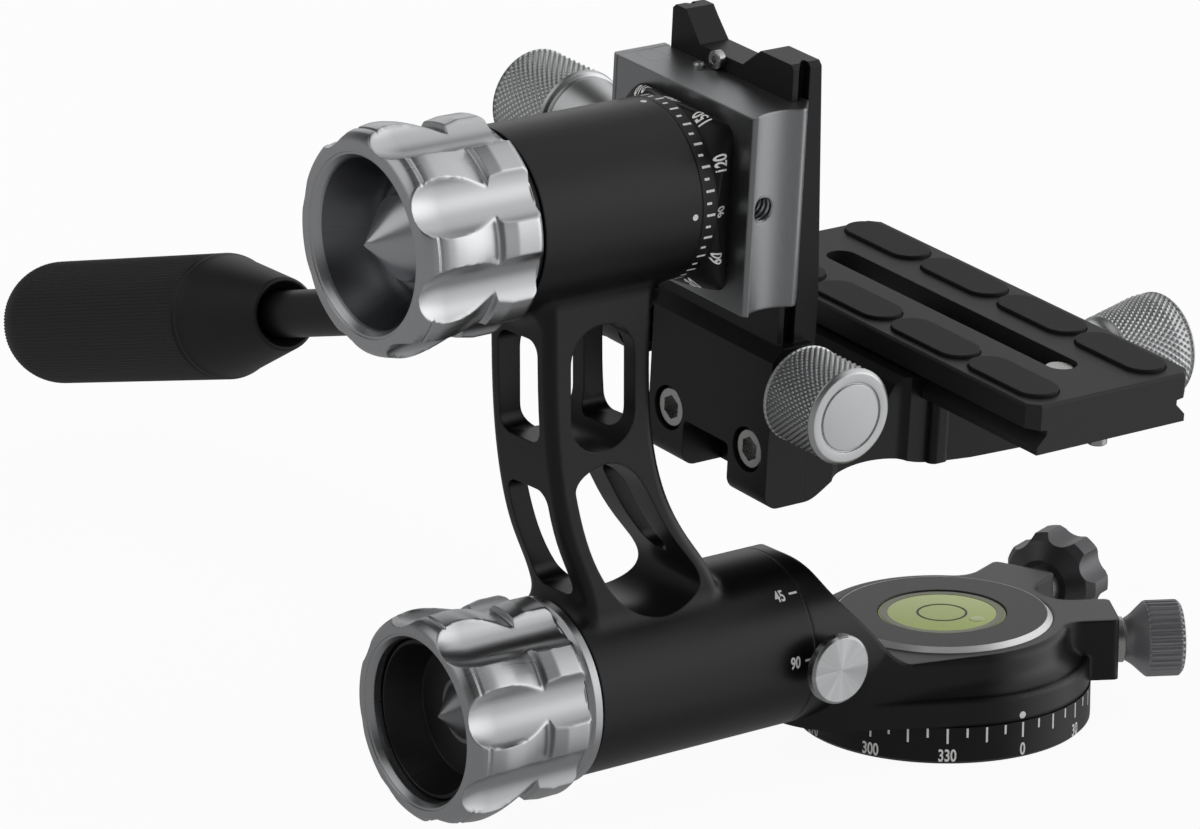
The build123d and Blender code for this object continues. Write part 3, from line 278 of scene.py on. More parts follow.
def linear(code: str) -> tuple[float, float, float, float]:
    """Linear colour of an sRGB hex code."""
    values = [int(code[i : i + 2], 16) / 255 for i in (1, 3, 5)]
    return tuple(v / 12.92 if v <= 0.04045 else ((v + 0.055) / 1.055) ** 2.4 for v in values) + (1.0,)


def per_mm(size: float) -> float:
    """Texture scale at which one feature is that many millimetres."""
    return 1 / (size * MM)


def emptied(block: ID) -> NodeTree:
    """Clears the nodes of a material or a world."""
    block.use_nodes = True
    block.node_tree.nodes.clear()
    return block.node_tree


def node(tree: NodeTree, kind: str, settings: dict | None = None, **inputs) -> Node:
    """Adds one node.

    Args:
        tree: where it goes.
        kind: its type, without the ShaderNode prefix.
        settings: its properties.
        inputs: socket names (underscores for spaces, or i0, i1 for numbers) to values, sockets, or nodes for
            their first outputs.

    Returns:
        The node.
    """
    made = tree.nodes.new("ShaderNode" + kind)
    for key, value in (settings or {}).items():
        setattr(made, key, value)
    for key, value in inputs.items():
        value = value.outputs[0] if isinstance(value, Node) else value
        numbered = key[0] == "i" and key[1:].isdigit()
        socket = made.inputs[int(key[1:]) if numbered else key.replace("_", " ")]
        if isinstance(value, NodeSocket):
            tree.links.new(value, socket)
        else:
            socket.default_value = value
    return made


@dataclass(frozen=True)
class Finish:
    """A surface: what it is made of, its colour, and the grain that its making leaves.

    The grain is a fine noise, by its size and its depth as bump; mottle is how far a broad noise lightens
    and darkens the colour, varies how far roughness strays, edge the radius that edges catch light with, and
    shine the specular level.
    """

    name: str
    colour: str
    metallic: float = 0.0
    roughness: float = 0.4
    grain: float = 0.3
    depth: float = 0.004
    mottle: float = 0.06
    edge: float = 0.25
    shine: float = 0.5
    varies: float = 0.05

    def material(self) -> Material:
        """The finish as a Blender material, made once."""
        made = bpy.data.materials.get(self.name)
        if not made:
            made = bpy.data.materials.new(self.name)
            tree = emptied(made)
            inputs = self.grained(tree, node(tree, "TexCoord").outputs["Object"])
            base = {"Metallic": self.metallic, "Specular_IOR_Level": self.shine}
            shader = node(tree, "BsdfPrincipled", **base, **inputs)
            node(tree, "OutputMaterial", Surface=shader)
        return made

    def grained(self, tree: NodeTree, place: NodeSocket) -> dict:
        """Noises on the piece's own coordinates: a broad one for the colour, a fine one for the rest.

        Args:
            tree: the material's nodes.
            place: the coordinates.

        Returns:
            Shader inputs by name, underscores for spaces.
        """
        broad = node(tree, "TexNoise", Vector=place, Scale=per_mm(PATCH), Detail=3.0)
        fine = node(tree, "TexNoise", Vector=place, Scale=per_mm(self.grain), Detail=2.0)
        return self.worked(tree, broad, fine, fine)

    def worked(self, tree: NodeTree, share: Node, wear: Node, height: Node) -> dict:
        """Colour between a darker and a lighter one, roughness, and bump over rounded edges.

        Args:
            tree: the material's nodes.
            share: noise that mottles the colour.
            wear: noise that varies the roughness.
            height: noise that gives the bump.

        Returns:
            Shader inputs by name, underscores for spaces.
        """
        base = linear(self.colour)[:3]
        low, high = ((*(min(1.0, v * (1 + by)) for v in base), 1.0) for by in (-self.mottle, self.mottle))
        mix = node(tree, "Mix", {"data_type": "RGBA"}, Factor=share, i6=low, i7=high)
        least, most = self.roughness - self.varies, self.roughness + self.varies
        rough = node(tree, "MapRange", Value=wear, To_Min=least, To_Max=most)
        round_edge = node(tree, "Bevel", {"samples": 4}, Radius=self.edge * MM)
        bump = node(tree, "Bump", Height=height, Distance=self.depth * MM, Normal=round_edge)
        return {"Base_Color": mix.outputs[2], "Roughness": rough, "Normal": bump}


@dataclass(frozen=True)
class Turned(Finish):
    """A lathe-turned surface: fine rings round an axis, which spread a highlight across them.

    Inside a given radius it can have another colour, painted shade: a darker bowl inside a knob, or a cone
    left lighter in a dish of painted shade.
    """

    metallic: float = 1.0
    depth: float = 0.003
    varies: float = 0.06
    axis: Axis = PAN
    rings: float = 0.5
    spread: float = 0.3
    about: str = "X"
    streaks: float = 14.0
    middle: str = ""
    middle_r: float = 0.0

    def grained(self, tree: NodeTree, place: NodeSocket) -> dict:
        """Rings are a noise of distance from the axis and height along it; lines a noise of the angle, which
        also carry painted highlight wedges where the mottle is strong.
        """
        frame = self.axis.frame()
        at, turn = frame.to_translation(), frame.to_euler()
        local = node(tree, "Mapping", {"vector_type": "TEXTURE"}, Vector=place, Location=at, Rotation=turn)
        x, y, z = node(tree, "SeparateXYZ", Vector=local).outputs
        flat = node(tree, "CombineXYZ", X=x, Y=y)
        radius = node(tree, "VectorMath", {"operation": "LENGTH"}, i0=flat).outputs["Value"]
        lathe = node(tree, "CombineXYZ", X=radius, Y=z)
        rings = node(tree, "TexNoise", Vector=lathe, Scale=per_mm(self.rings), Detail=2.0)
        angle = node(tree, "Math", {"operation": "ARCTAN2"}, i0=y, i1=x)
        # noise by angle round the axis: tone in turning lines, and painted highlight wedges on a finish with
        # a strong mottle
        lines = node(tree, "TexNoise", {"noise_dimensions": "1D"}, W=angle, Scale=self.streaks, Detail=3.0)
        fine = node(tree, "TexNoise", Vector=place, Scale=per_mm(self.grain), Detail=2.0)
        both = node(tree, "Math", {"operation": "MULTIPLY_ADD"}, i0=fine, i1=0.5, i2=rings)
        made = self.worked(tree, lines, lines, both)
        # painted shade: inside the radius another colour, darker for the shade in a knob's bowl, lighter for
        # a cone in a dish of painted shade
        if self.middle:
            inside = node(tree, "Math", {"operation": "LESS_THAN"}, i0=radius, i1=self.middle_r * MM)
            ends = {"i6": made["Base_Color"], "i7": linear(self.middle)}
            made["Base_Color"] = node(tree, "Mix", {"data_type": "RGBA"}, Factor=inside, **ends).outputs[2]
        tangent = node(tree, "Tangent", {"direction_type": "RADIAL", "axis": self.about})
        return made | {"Tangent": tangent, "Anisotropic": self.spread, "Anisotropic_Rotation": 0.25}


@dataclass(frozen=True)
class Brushed(Finish):
    """A brushed surface: scratches drawn out along the cradle's height."""

    varies: float = 0.08
    scratch: float = 0.25
    length: float = 22.0

    def grained(self, tree: NodeTree, place: NodeSocket) -> dict:
        """The noise is squeezed across the brushing and drawn out along it."""
        stretch = (1.0, 1.0, self.scratch / self.length)
        squeeze = node(tree, "Mapping", Vector=place, Rotation=(-REST_TILT, 0, 0), Scale=stretch)
        lines = node(tree, "TexNoise", Vector=squeeze, Scale=per_mm(self.scratch), Detail=3.0)
        return self.worked(tree, lines, lines, lines)


# bead-blasted black anodising: satin, with a grit that just shows
BLACK = Finish("black_anodised_aluminium", "#111112", roughness=0.38, grain=0.32, depth=0.006, shine=0.3)
# die-cast alloy under satin black: smoother, and softer at its edges
CASTING = Finish(
    "satin_black_casting", "#0e0e0f", roughness=0.36, grain=0.45, depth=0.005, edge=0.5, shine=0.35
)
HOUSING = replace(CASTING, name="satin_black_cast_housing", roughness=0.32, depth=0.004, edge=1.1, shine=0.4)
# the plate is milled and blasted: matte
MATTE = Finish("matte_black_anodised_plate", "#202021", roughness=0.5, depth=0.006, shine=0.4)
# the pan joint's lock knob, and its drag knob, a shade lighter
GREY = Finish("dark_grey_anodised_aluminium", "#5a5a5c", metallic=0.8, roughness=0.36, depth=0.005)
LIGHT_GREY = replace(GREY, name="grey_anodised_aluminium", colour="#97979a", metallic=0.7)
# the level's cover, and the edge turned bright on it
COVER = Finish("graphite_anodised_cover", "#363536", metallic=0.3, roughness=0.42, depth=0.005)
CUT = Finish("diamond_cut_edge", "#f2f2f3", metallic=0.5, roughness=0.36, grain=0.4, depth=0.002, edge=0.05)
# bright metals
STEEL = Finish("machined_stainless_steel", "#b9bab8", metallic=1.0, roughness=0.28, grain=0.4, depth=0.003)
SILVER = Finish("clear_anodised_aluminium", "#c9cacb", metallic=1.0, roughness=0.34, grain=0.35)
CLAMP = Brushed(
    "brushed_clear_anodised_aluminium", "#9fa0a2", metallic=1.0, roughness=0.38, mottle=0.1, edge=0.6
)
SATIN = Turned("turned_aluminium_fold_knob", "#b8b9bb", roughness=0.3, mottle=0.05, streaks=36.0)
BRONZE = Finish("sintered_bronze", "#8a6a3c", metallic=1.0, roughness=0.45, grain=0.5, depth=0.006)
# plastics, rubber and the white filling of engraved marks
POLYMER = Finish("acetal_polymer", "#2b2b2b", roughness=0.5, grain=0.5)
RUBBER = Finish("moulded_rubber", "#121213", roughness=0.66, grain=0.35, depth=0.012, mottle=0.12, edge=0.5)
GRIP = Finish("moulded_nitrile_grip", "#101011", roughness=0.5, depth=0.006, shine=0.4)
INK = Finish("white_filled_engraving", "#e6e6e4", roughness=0.55, depth=0.002, edge=0.02)
# the level: its lens over tinted fluid, the lens's rim, a printed circle and the bubble
LENS = Finish("tinted_level_fluid", "#c4d768", roughness=0.12, grain=1.0, depth=0.0005, mottle=0.12)
RIM = Finish("level_edge_ring", "#77795f", roughness=0.3, grain=0.6, depth=0.002)
CIRCLE = Finish("level_circle_ink", "#14160c", grain=0.4, depth=0.001)
BUBBLE = Finish("level_bubble", "#d3dd92", roughness=0.08, grain=1.0, depth=0.0003, mottle=0.05)


def dress(finish: Finish, *names: str) -> None:
    """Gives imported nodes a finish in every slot."""
    for name in names:
        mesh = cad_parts[name].data
        if not mesh.materials:
            mesh.materials.append(None)
        for i in range(len(mesh.materials)):
            mesh.materials[i] = finish.material()


# -------- marks on round surfaces


class Reading(Enum):
    """Which way a mark's own X runs on a round surface."""

    ROUND = "round"
    ALONG = "along"


@dataclass(frozen=True)
class Mark:
    """A flat mark: its outline as points and faces in millimetres, before it is wrapped."""

    points: Array
    faces: list


def lettering(text: str, height: float) -> Mark:
    """A number as a thin solid, centred, in digits a little bolder and narrower than the plain font's.

    Args:
        text: the number.
        height: digit height in millimetres.

    Returns:
        The mark, from -0.5 to 0.5 in thickness.
    """
    narrow, bolder, longest, weld = 0.7, 0.022, 0.2, 1e-5
    curve = bpy.data.curves.new("number", "FONT")
    curve.body = text
    curve.extrude = 0.5
    curve.offset = bolder
    holder = bpy.data.objects.new("number", curve)
    mesh = bpy.data.meshes.new_from_object(holder)
    shell = bmesh.new()
    shell.from_mesh(mesh)
    bmesh.ops.remove_doubles(shell, verts=shell.verts, dist=weld)
    bmesh.ops.triangulate(shell, faces=shell.faces)
    for _ in range(2):
        long = [edge for edge in shell.edges if edge.calc_length() > longest]
        bmesh.ops.subdivide_edges(shell, edges=long, cuts=1)
        bmesh.ops.triangulate(shell, faces=shell.faces)
    shell.to_mesh(mesh)
    shell.free()
    spots = np.empty(len(mesh.vertices) * 3, np.float32)
    mesh.vertices.foreach_get("co", spots)
    spots = spots.reshape(-1, 3).astype(float)
    low, high = spots.min(0), spots.max(0)
    size = height / (high[1] - low[1])
    centre = (low + high) / 2
    spots = (spots - centre) * np.array((size * narrow, size, 1.0))
    faces = [tuple(p.vertices) for p in mesh.polygons]
    bpy.data.objects.remove(holder)
    bpy.data.curves.remove(curve)
    bpy.data.meshes.remove(mesh)
    return Mark(spots, faces)


def prism(ring: Array) -> Mark:
    """A thin flat solid, centred in its thickness, with an outline of n by 2 points."""
    n = len(ring)
    low, high = (np.column_stack([ring, np.full(n, t)]) for t in (-0.5, 0.5))
    wall = [(i, (i + 1) % n, n + (i + 1) % n, n + i) for i in range(n)]
    return Mark(np.vstack([low, high]), [tuple(range(n))[::-1], tuple(range(n, 2 * n)), *wall])


def bar(width: float, height: float) -> Mark:
    """A tick mark, centred."""
    return prism(np.array(((-0.5, -0.5), (0.5, -0.5), (0.5, 0.5), (-0.5, 0.5))) * (width, height))


def dot(radius: float) -> Mark:
    """A round dot of many sides, centred."""
    turn = np.linspace(0, 2 * np.pi, 25)[:-1]
    return prism(np.column_stack([np.cos(turn), np.sin(turn)]) * radius)


def surface_radius(name: str, axis: Axis, turn: Array, height: Array) -> Array:
    """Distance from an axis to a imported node's surface, where rays square to the axis leave the node.

    Each ray starts on the axis at its height and runs out at its angle. It meets a triangle where its
    distance and two side weights, from cross products of the triangle's sides, are all inside their limits.

    Args:
        name: the node.
        axis: the axis.
        turn: angle of each ray round the axis, in radians.
        height: where each ray starts along the axis.

    Returns:
        The greatest distance of each ray, in millimetres.
    """
    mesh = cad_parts[name].data
    mesh.calc_loop_triangles()
    corners = np.empty(len(mesh.vertices) * 3, np.float32)
    mesh.vertices.foreach_get("co", corners)
    index = np.empty(len(mesh.loop_triangles) * 3, np.int32)
    mesh.loop_triangles.foreach_get("vertices", index)
    triangles = (corners.reshape(-1, 3).astype(float) / MM)[index.reshape(-1, 3)]
    zero = np.zeros_like(height)
    start = axis.place(np.column_stack([zero, zero, height]))
    way = axis.place(np.column_stack([np.cos(turn), np.sin(turn), height])) - start
    first, second = triangles[:, 1] - triangles[:, 0], triangles[:, 2] - triangles[:, 0]
    reach = np.zeros(len(way))
    batch, slack, edge_on = 200, 1e-6, 1e-12
    for low in range(0, len(way), batch):
        part = slice(low, low + batch)
        across = np.cross(way[part, None], second[None])
        size = (first[None] * across).sum(-1)
        size = np.where(np.abs(size) < edge_on, np.inf, size)
        back = start[part, None] - triangles[None, :, 0]
        u = (back * across).sum(-1) / size
        turned_back = np.cross(back, first[None])
        v = (way[part, None] * turned_back).sum(-1) / size
        t = (second[None] * turned_back).sum(-1) / size
        met = (u > -slack) & (v > -slack) & (u + v < 1 + slack) & (t > 0)
        reach[part] = np.where(met, t, 0).max(1)
    return reach


@dataclass(frozen=True)
class Drum:
    """A round surface that marks are wrapped on, by radius or node, and how proud and sunk they are."""

    axis: Axis
    radius: float
    proud: float = 0.04
    sunk: float = 0.06
    node: str = ""

    def ground(self, turn: Array, height: Array) -> Array:
        """Radius of the node's surface under a mark: measured on a small grid, read between its corners.

        Args:
            turn: angle of each point in radians.
            height: each point's height along the axis.

        Returns:
            The radius at each point.
        """
        steps, rim = (24, 9), 1e-3
        sides = [np.linspace(v.min() - rim, v.max() + rim, n) for v, n in zip((turn, height), steps)]
        grid = np.meshgrid(*sides, indexing="ij")
        table = surface_radius(self.node, self.axis, grid[0].ravel(), grid[1].ravel()).reshape(steps)
        place = [(v - side[0]) / (side[1] - side[0]) for v, side in zip((turn, height), sides)]
        low = [np.clip(np.floor(v).astype(int), 0, n - 2) for v, n in zip(place, steps)]
        u, v = place[0] - low[0], place[1] - low[1]
        near = table[low[0], low[1]] * (1 - v) + table[low[0], low[1] + 1] * v
        far = table[low[0] + 1, low[1]] * (1 - v) + table[low[0] + 1, low[1] + 1] * v
        return near * (1 - u) + far * u

    def wrap(self, mark: Mark, angle: float, height: float, reading: Reading, up: float = 1.0) -> Mark:
        """Wraps a mark: its own X becomes an arc or a height, its Y the other, and its thickness the radius.

        Args:
            mark: the flat mark.
            angle: where its centre goes round the axis, in degrees.
            height: where its centre goes along the axis.
            reading: whether its X runs round the axis or along it.
            up: -1 turns it half a turn in its plane.

        Returns:
            The mark in the model's frame.
        """
        x, y, t = (mark.points * np.array((up, up, 1.0))).T
        round_way, along = (x, y) if reading is Reading.ROUND else (-y, x)
        turn = math.radians(angle) + round_way / self.radius
        surface = self.ground(turn, height + along) if self.node else self.radius
        r = surface - self.sunk + (t + 0.5) * (self.proud + self.sunk)
        spots = np.column_stack([r * np.cos(turn), r * np.sin(turn), height + along])
        return Mark(self.axis.place(spots), mark.faces)


def inked(name: str, marks: Sequence[Mark], body: str, slot: Slot) -> None:
    """Makes several marks one piece, white.

    Args:
        name: the piece's name.
        marks: the wrapped marks.
        body: the body it moves with.
        slot: the slot of the surface that it is engraved in.
    """
    starts = np.cumsum([0] + [len(m.points) for m in marks[:-1]])
    faces = [tuple(i + s for i in f) for m, s in zip(marks, starts) for f in m.faces]
    piece(name, np.vstack([m.points for m in marks]), faces, body, INK, slot)


def round_angle(above: float) -> float:
    """Angle in an X axis's own frame of a spot given in degrees from -Y up towards +Z."""
    return 180 - above


def graduations(ticks: int = 48) -> Iterator[tuple[float, bool, str]]:
    """A dial's readings in degrees: whether the tick is long, and its number if it has one."""
    for i in range(ticks):
        reading = i * 360 / ticks
        yield reading, i % 2 == 0, str(round(reading)) if i % 4 == 0 else ""


# -------- sub-assemblies


@dataclass(frozen=True)
class KnurledKnob:
    """A silver knob with a diamond knurl: how many diamonds go round it, and their height and depth.

    The knurl, between its two heights, is the smaller of two crossed triangle waves, sunk by its depth. The
    profile is in short steps between the heights that fine gives.
    """

    axis: Axis
    corners: tuple
    starts: int
    pitch: float
    depth: float
    knurl: tuple[float, float]
    fine: tuple[float, float]

    def relief(self, r: Array, z: Array, a: Array) -> Array:
        """Change of radius: the two waves, between the knurl's ends."""
        round_way, along = a * self.starts / (2 * np.pi), z / self.pitch
        height = np.minimum(saw(round_way + along), saw(round_way - along)) - 1
        return self.depth * height * ((z > self.knurl[0]) & (z < self.knurl[1]))

    def make(self, name: str, body: str, replaces: str) -> None:
        """Makes the knob as a piece that stands for a packed one."""
        profile = divided(rounded(self.corners), *self.fine, KNURL_ROW)
        points, faces = turned(profile, self.starts * RIB_COLUMNS, self.relief)
        piece(name, self.axis.place(points), faces, body, SILVER, Slot.SILVER, [replaces], sharp=60)


@dataclass
class PanBase:
    """Foot with the pan scale, the turning housing, and the level in its top."""

    foot_r: float = 30.0
    foot_h: float = 7.7
    housing_r: float = 29.8
    zero_angle: float = -96.3
    cover_top: float = 21.4
    window_top: float = 21.15

    def build(self) -> None:
        """Dresses the foot, the housing and the level, and adds the scale."""
        dress(BLACK, "base_dial")
        dress(HOUSING, "pan_housing")
        dress(SILVER, "pan_spindle")
        dress(STEEL, "base_screws", "retainer_screws", "pan_retainer")
        dress(POLYMER, "pan_washer", "lock_shoe", "drag_shoe")
        self.scale()
        self.index_dot()
        self.level()

    def scale(self) -> None:
        """Ticks round the foot's edge, and a number every thirty degrees beneath them."""
        drum = Drum(PAN, self.foot_r)
        marks = []
        for reading, long, number in graduations():
            length = 3.1 if long else 1.9
            angle = self.zero_angle + reading
            marks.append(drum.wrap(bar(0.42, length), angle, self.foot_h - 0.2 - length / 2, Reading.ROUND))
            if number:
                marks.append(drum.wrap(lettering(number, 2.6), angle, 1.95, Reading.ROUND))
        inked("base_scale", marks, "base", Slot.BLACK)

    def index_dot(self) -> None:
        """White dot on the housing over the scale's zero."""
        drum = Drum(PAN, self.housing_r, node="pan_housing")
        mark = drum.wrap(dot(0.72), self.zero_angle, 8.95, Reading.ROUND)
        inked("pan_index", [mark], "pan_body", Slot.BLACK)

    def ring(self, name: str, profile: Sequence, columns: int, finish: Finish, slot: Slot, **more) -> None:
        """A turned piece of the level."""
        piece(name, *turned(np.array(profile), columns), "pan_body", finish, slot, **more)

    def level(self) -> None:
        """Level: cover with a bright cut edge, clear lens over tinted fluid, printed circle and bubble."""
        top, high = self.cover_top, self.window_top
        cover = (
            (12.9, 19.4), (21.9, 19.4), (22.1, 19.6), (22.1, top - 1.0), (21.1, top), (13.1, top),
            (12.9, top - 0.2), (12.9, 19.4),
        )
        self.ring("level_cover_cut", cover, 180, COVER, Slot.GREY, replaces=["level_cover"], sharp=20)
        edge = (22.07, top - 1.0), (22.16, top - 0.98), (21.16, top + 0.02), (21.07, top), (22.07, top - 1.0)
        self.ring("level_cover_edge", edge, 180, CUT, Slot.SILVER)
        lens = rounded([(0, 15.6, 0), (12.3, 15.6, 0.4), (12.8, 16.2, 0.2), (12.8, high, 0.25), (0, high, 0)])
        self.ring("level_lens", lens, 120, LENS, Slot.FLUID, replaces=["level_vial"])
        low = high - 0.02
        rim = (10.9, low), (12.55, low), (12.5, high + 0.06), (10.95, high + 0.05), (10.9, low)
        self.ring("level_edge", rim, 96, RIM, Slot.FLUID)
        line = (4.65, low), (5.1, low), (5.1, high + 0.05), (4.65, high + 0.05), (4.65, low)
        self.ring("level_circle", line, 72, CIRCLE, Slot.FLUID)
        t = np.linspace(0, 1, 7) * np.pi / 2
        dome = np.column_stack([1.7 * np.cos(t), low + 0.14 * np.sin(t)])
        points, faces = turned(np.vstack([[(0, low)], dome]), 32)
        piece("level_bubble", points + np.array((3.2, -7.2, 0.0)), faces, "pan_body", BUBBLE, Slot.FLUID)


@dataclass
class PanKnobs:
    """Lock and drag knobs of the pan joint."""

    angle: float = math.radians(-30.0)
    distance: float = 36.6
    height: float = 14.1

    def build(self) -> None:
        """Dresses the lock knob and replaces the drag knob by a knurled one."""
        dress(GREY, "pan_lock_knob")
        dress(STEEL, "pan_lock_stud", "pan_drag_stud")
        self.drag_knob()

    def drag_knob(self) -> None:
        """Tapered neck and a rim with grooves along it."""
        grooves, columns, depth, crest, low, high = 34, 8, 0.5, 1.6, 4.6, 11.5

        def knurl(r: Array, z: Array, a: Array) -> Array:
            """A cosine round the knob between two heights, clipped, which leaves flat crests."""
            wave = np.clip(crest * np.cos(a * grooves), -1, 1) - 1
            return depth / 2 * wave * ((z > low) & (z < high))

        corners = (
            (0, 0, 0), (4.0, 0, 0.2), (4.9, 1.6, 1.0), (7.0, 3.9, 0.5), (7.7, 4.7, 0.4), (7.7, 11.2, 0.3),
            (6.9, 11.9, 0.3), (0, 11.9, 0),
        )
        points, faces = turned(divided(rounded(corners), 4.0, 11.6, 0.5), grooves * columns, knurl)
        way = math.cos(self.angle), math.sin(self.angle)
        axis = Axis((way[0] * self.distance, way[1] * self.distance, self.height), (*way, 0.0))
        points = axis.place(points)
        piece("drag_knob_knurled", points, faces, "pan_drag", LIGHT_GREY, Slot.GREY, ["pan_drag_knob"])


@dataclass(frozen=True)
class ScallopedKnob:
    """Large turned knob: thin front ring, barrel with flutes milled along it, waist, and stepped rear band.

    Heights run from the rear face. The flutes are round bars whose front ends taper like an ellipse.
    """

    axis: Axis
    length: float
    outer: float
    opening: float
    floor_depth: float
    floor_r: float
    first: float
    bore: float = 5.3
    count: int = 8
    bar_r: float = 7.1
    bar_out: float = 3.4
    ease: float = 0.09
    columns: int = 480

    def outline(self) -> Array:
        """Outer profile, rear to front, with short steps so that the flutes' edges stay fine."""
        o, top = self.outer, self.length
        corners = [
            (o - 3.4, 0.0, 0), (o - 1.9, 0.3, 0.3), (o - 1.25, 1.3, 0.4), (o - 1.2, 6.1, 0.3),
            (o - 1.7, 9.0, 0.1), (o - 2.8, 9.35, 0.2), (o - 2.85, 9.9, 0.3), (o - 2.3, 11.6, 0.8),
            (o - 1.4, 13.9, 0.9), (o - 0.6, 16.4, 0.9), (o - 0.15, 18.8, 0.9), (o, 20.9, 0.8),
            (o - 0.2, 22.6, 0.5), (o - 0.45, top - 3.5, 0.1), (o - 0.75, top - 3.25, 0.1),
            (o - 0.75, top - 2.95, 0.1), (o - 0.6, top - 2.7, 0.2), (o - 1.0, top - 1.4, 0.5),
            (o - 1.9, top - 0.35, 0.5), (o - 2.6, top, 0.3),
        ]
        return divided(rounded(corners), 0.2, top - 0.05, 0.3)

    def inside(self) -> Array:
        """Inner profile, front ring to floor and back to the bore's rear edge."""
        top, low, ring = self.length, self.length - self.floor_depth, self.opening
        corners = (
            (ring + 1.25, top, 0.1), (ring + 1.15, top - 0.25, 0.05), (ring + 0.75, top - 0.3, 0.1),
            (ring, top - 1.5, 0.2), (self.floor_r, low, 1.2), (self.bore, low, 0), (self.bore, 0.0, 0),
            (self.outer - 3.4, 0.0, 0),
        )
        return rounded(corners)

    def surface(self) -> Surface:
        """The knob's surface: where a flute runs below the profile its depth is taken, with the edge eased.

        A flute's distance from the axis is D cos t - sqrt(b^2 - D^2 sin^2 t), with D the bar's own distance,
        t the angle from its middle and b its radius there; the edge is eased by a soft minimum.
        """
        outline = self.outline()
        profile = np.vstack([outline, self.inside()])
        start, nose, missed = self.length - 6.6, 13.0, 99.0

        def flutes(r: Array, z: Array, a: Array) -> Array:
            """Change of radius on the outer rows."""
            pitch = 2 * np.pi / self.count
            t = (a - math.radians(self.first) + pitch / 2) % pitch - pitch / 2
            taper = np.clip((z - start) / nose, 0, 1)
            bar_r = self.bar_r * np.sqrt(1 - taper**2)
            away = self.outer + self.bar_out
            inner = bar_r**2 - (away * np.sin(t)) ** 2
            floor = np.where(inner > 0, away * np.cos(t) - np.sqrt(np.maximum(inner, 0)), missed)
            cut = np.minimum(floor - r, 0) - self.ease * np.log1p(np.exp(-np.abs(floor - r) / self.ease))
            rows = np.arange(len(profile))[:, None]
            return np.where((rows > 0) & (rows < len(outline)), cut, 0)

        return turned(profile, self.columns, flutes)

    def make(self, name: str, body: str, finish: Finish, replaces: str) -> None:
        """Makes the knob as a piece that stands for a packed one."""
        points, faces = self.surface()
        piece(name, self.axis.place(points), faces, body, finish, Slot.SILVER, [replaces], sharp=40)


@dataclass
class FoldJoint:
    """Lower tube's knob, flange, lock button and angle marks."""

    mouth: float = -127.9
    rear: float = -100.2
    button: Vec3 = (-43.5, -23.0, 24.9)

    def build(self) -> None:
        """Dresses the joint and adds its marks."""
        axis = Axis((self.rear, 0, FOLD_Z), (-1, 0, 0))
        satin = replace(SATIN, axis=axis)
        # painted shade: the hub's dish is dark grey for the shade in the knob's mouth, and its middle cone a
        # lighter grey
        dark = Turned(
            "turned_dish_fold_painted_shade", "#454546", metallic=0.9, roughness=0.36, axis=axis, middle="#8f9092",
            middle_r=6.4,
        )
        knob = ScallopedKnob(axis, self.rear - self.mouth, 21.1, 15.9, 14.0, 15.5, first=15.0)
        knob.make("fold_knob_scalloped", "fold_grip", satin, "fold_knob")
        dress(dark, "fold_knob_hub")
        dress(satin, "fold_flange")
        dress(STEEL, "fold_shaft", "fold_lock_spring")
        dress(BRONZE, "fold_bush_inner", "fold_bush_outer")
        # painted highlight: a strong colour mottle in broad wedges by angle paints the spun face's
        # wedge-shaped highlights
        spun = Turned(
            "spun_aluminium_button_painted_highlight", "#b4b5b6", roughness=0.26, mottle=0.55, spread=0.85, streaks=1.1,
            axis=Axis(self.button, (0, -1, 0)), about="Y",
        )
        dress(spun, "fold_lock_button")
        self.marks()

    def marks(self) -> None:
        """The fold angles on the lower tube, each with a dash, which turn with the arm."""
        drum = Drum(Axis((0, 0, FOLD_Z), (1, 0, 0)), TUBE_R)
        marks = []
        for text, above in (("45", 46.4), ("90", 2.0)):
            angle = round_angle(above)
            marks.append(drum.wrap(lettering(text, 2.5), angle, -50.6, Reading.ALONG))
            marks.append(drum.wrap(bar(1.9, 0.45), angle, -47.3, Reading.ALONG))
        inked("fold_angle_marks", marks, "arm", Slot.CASTING)


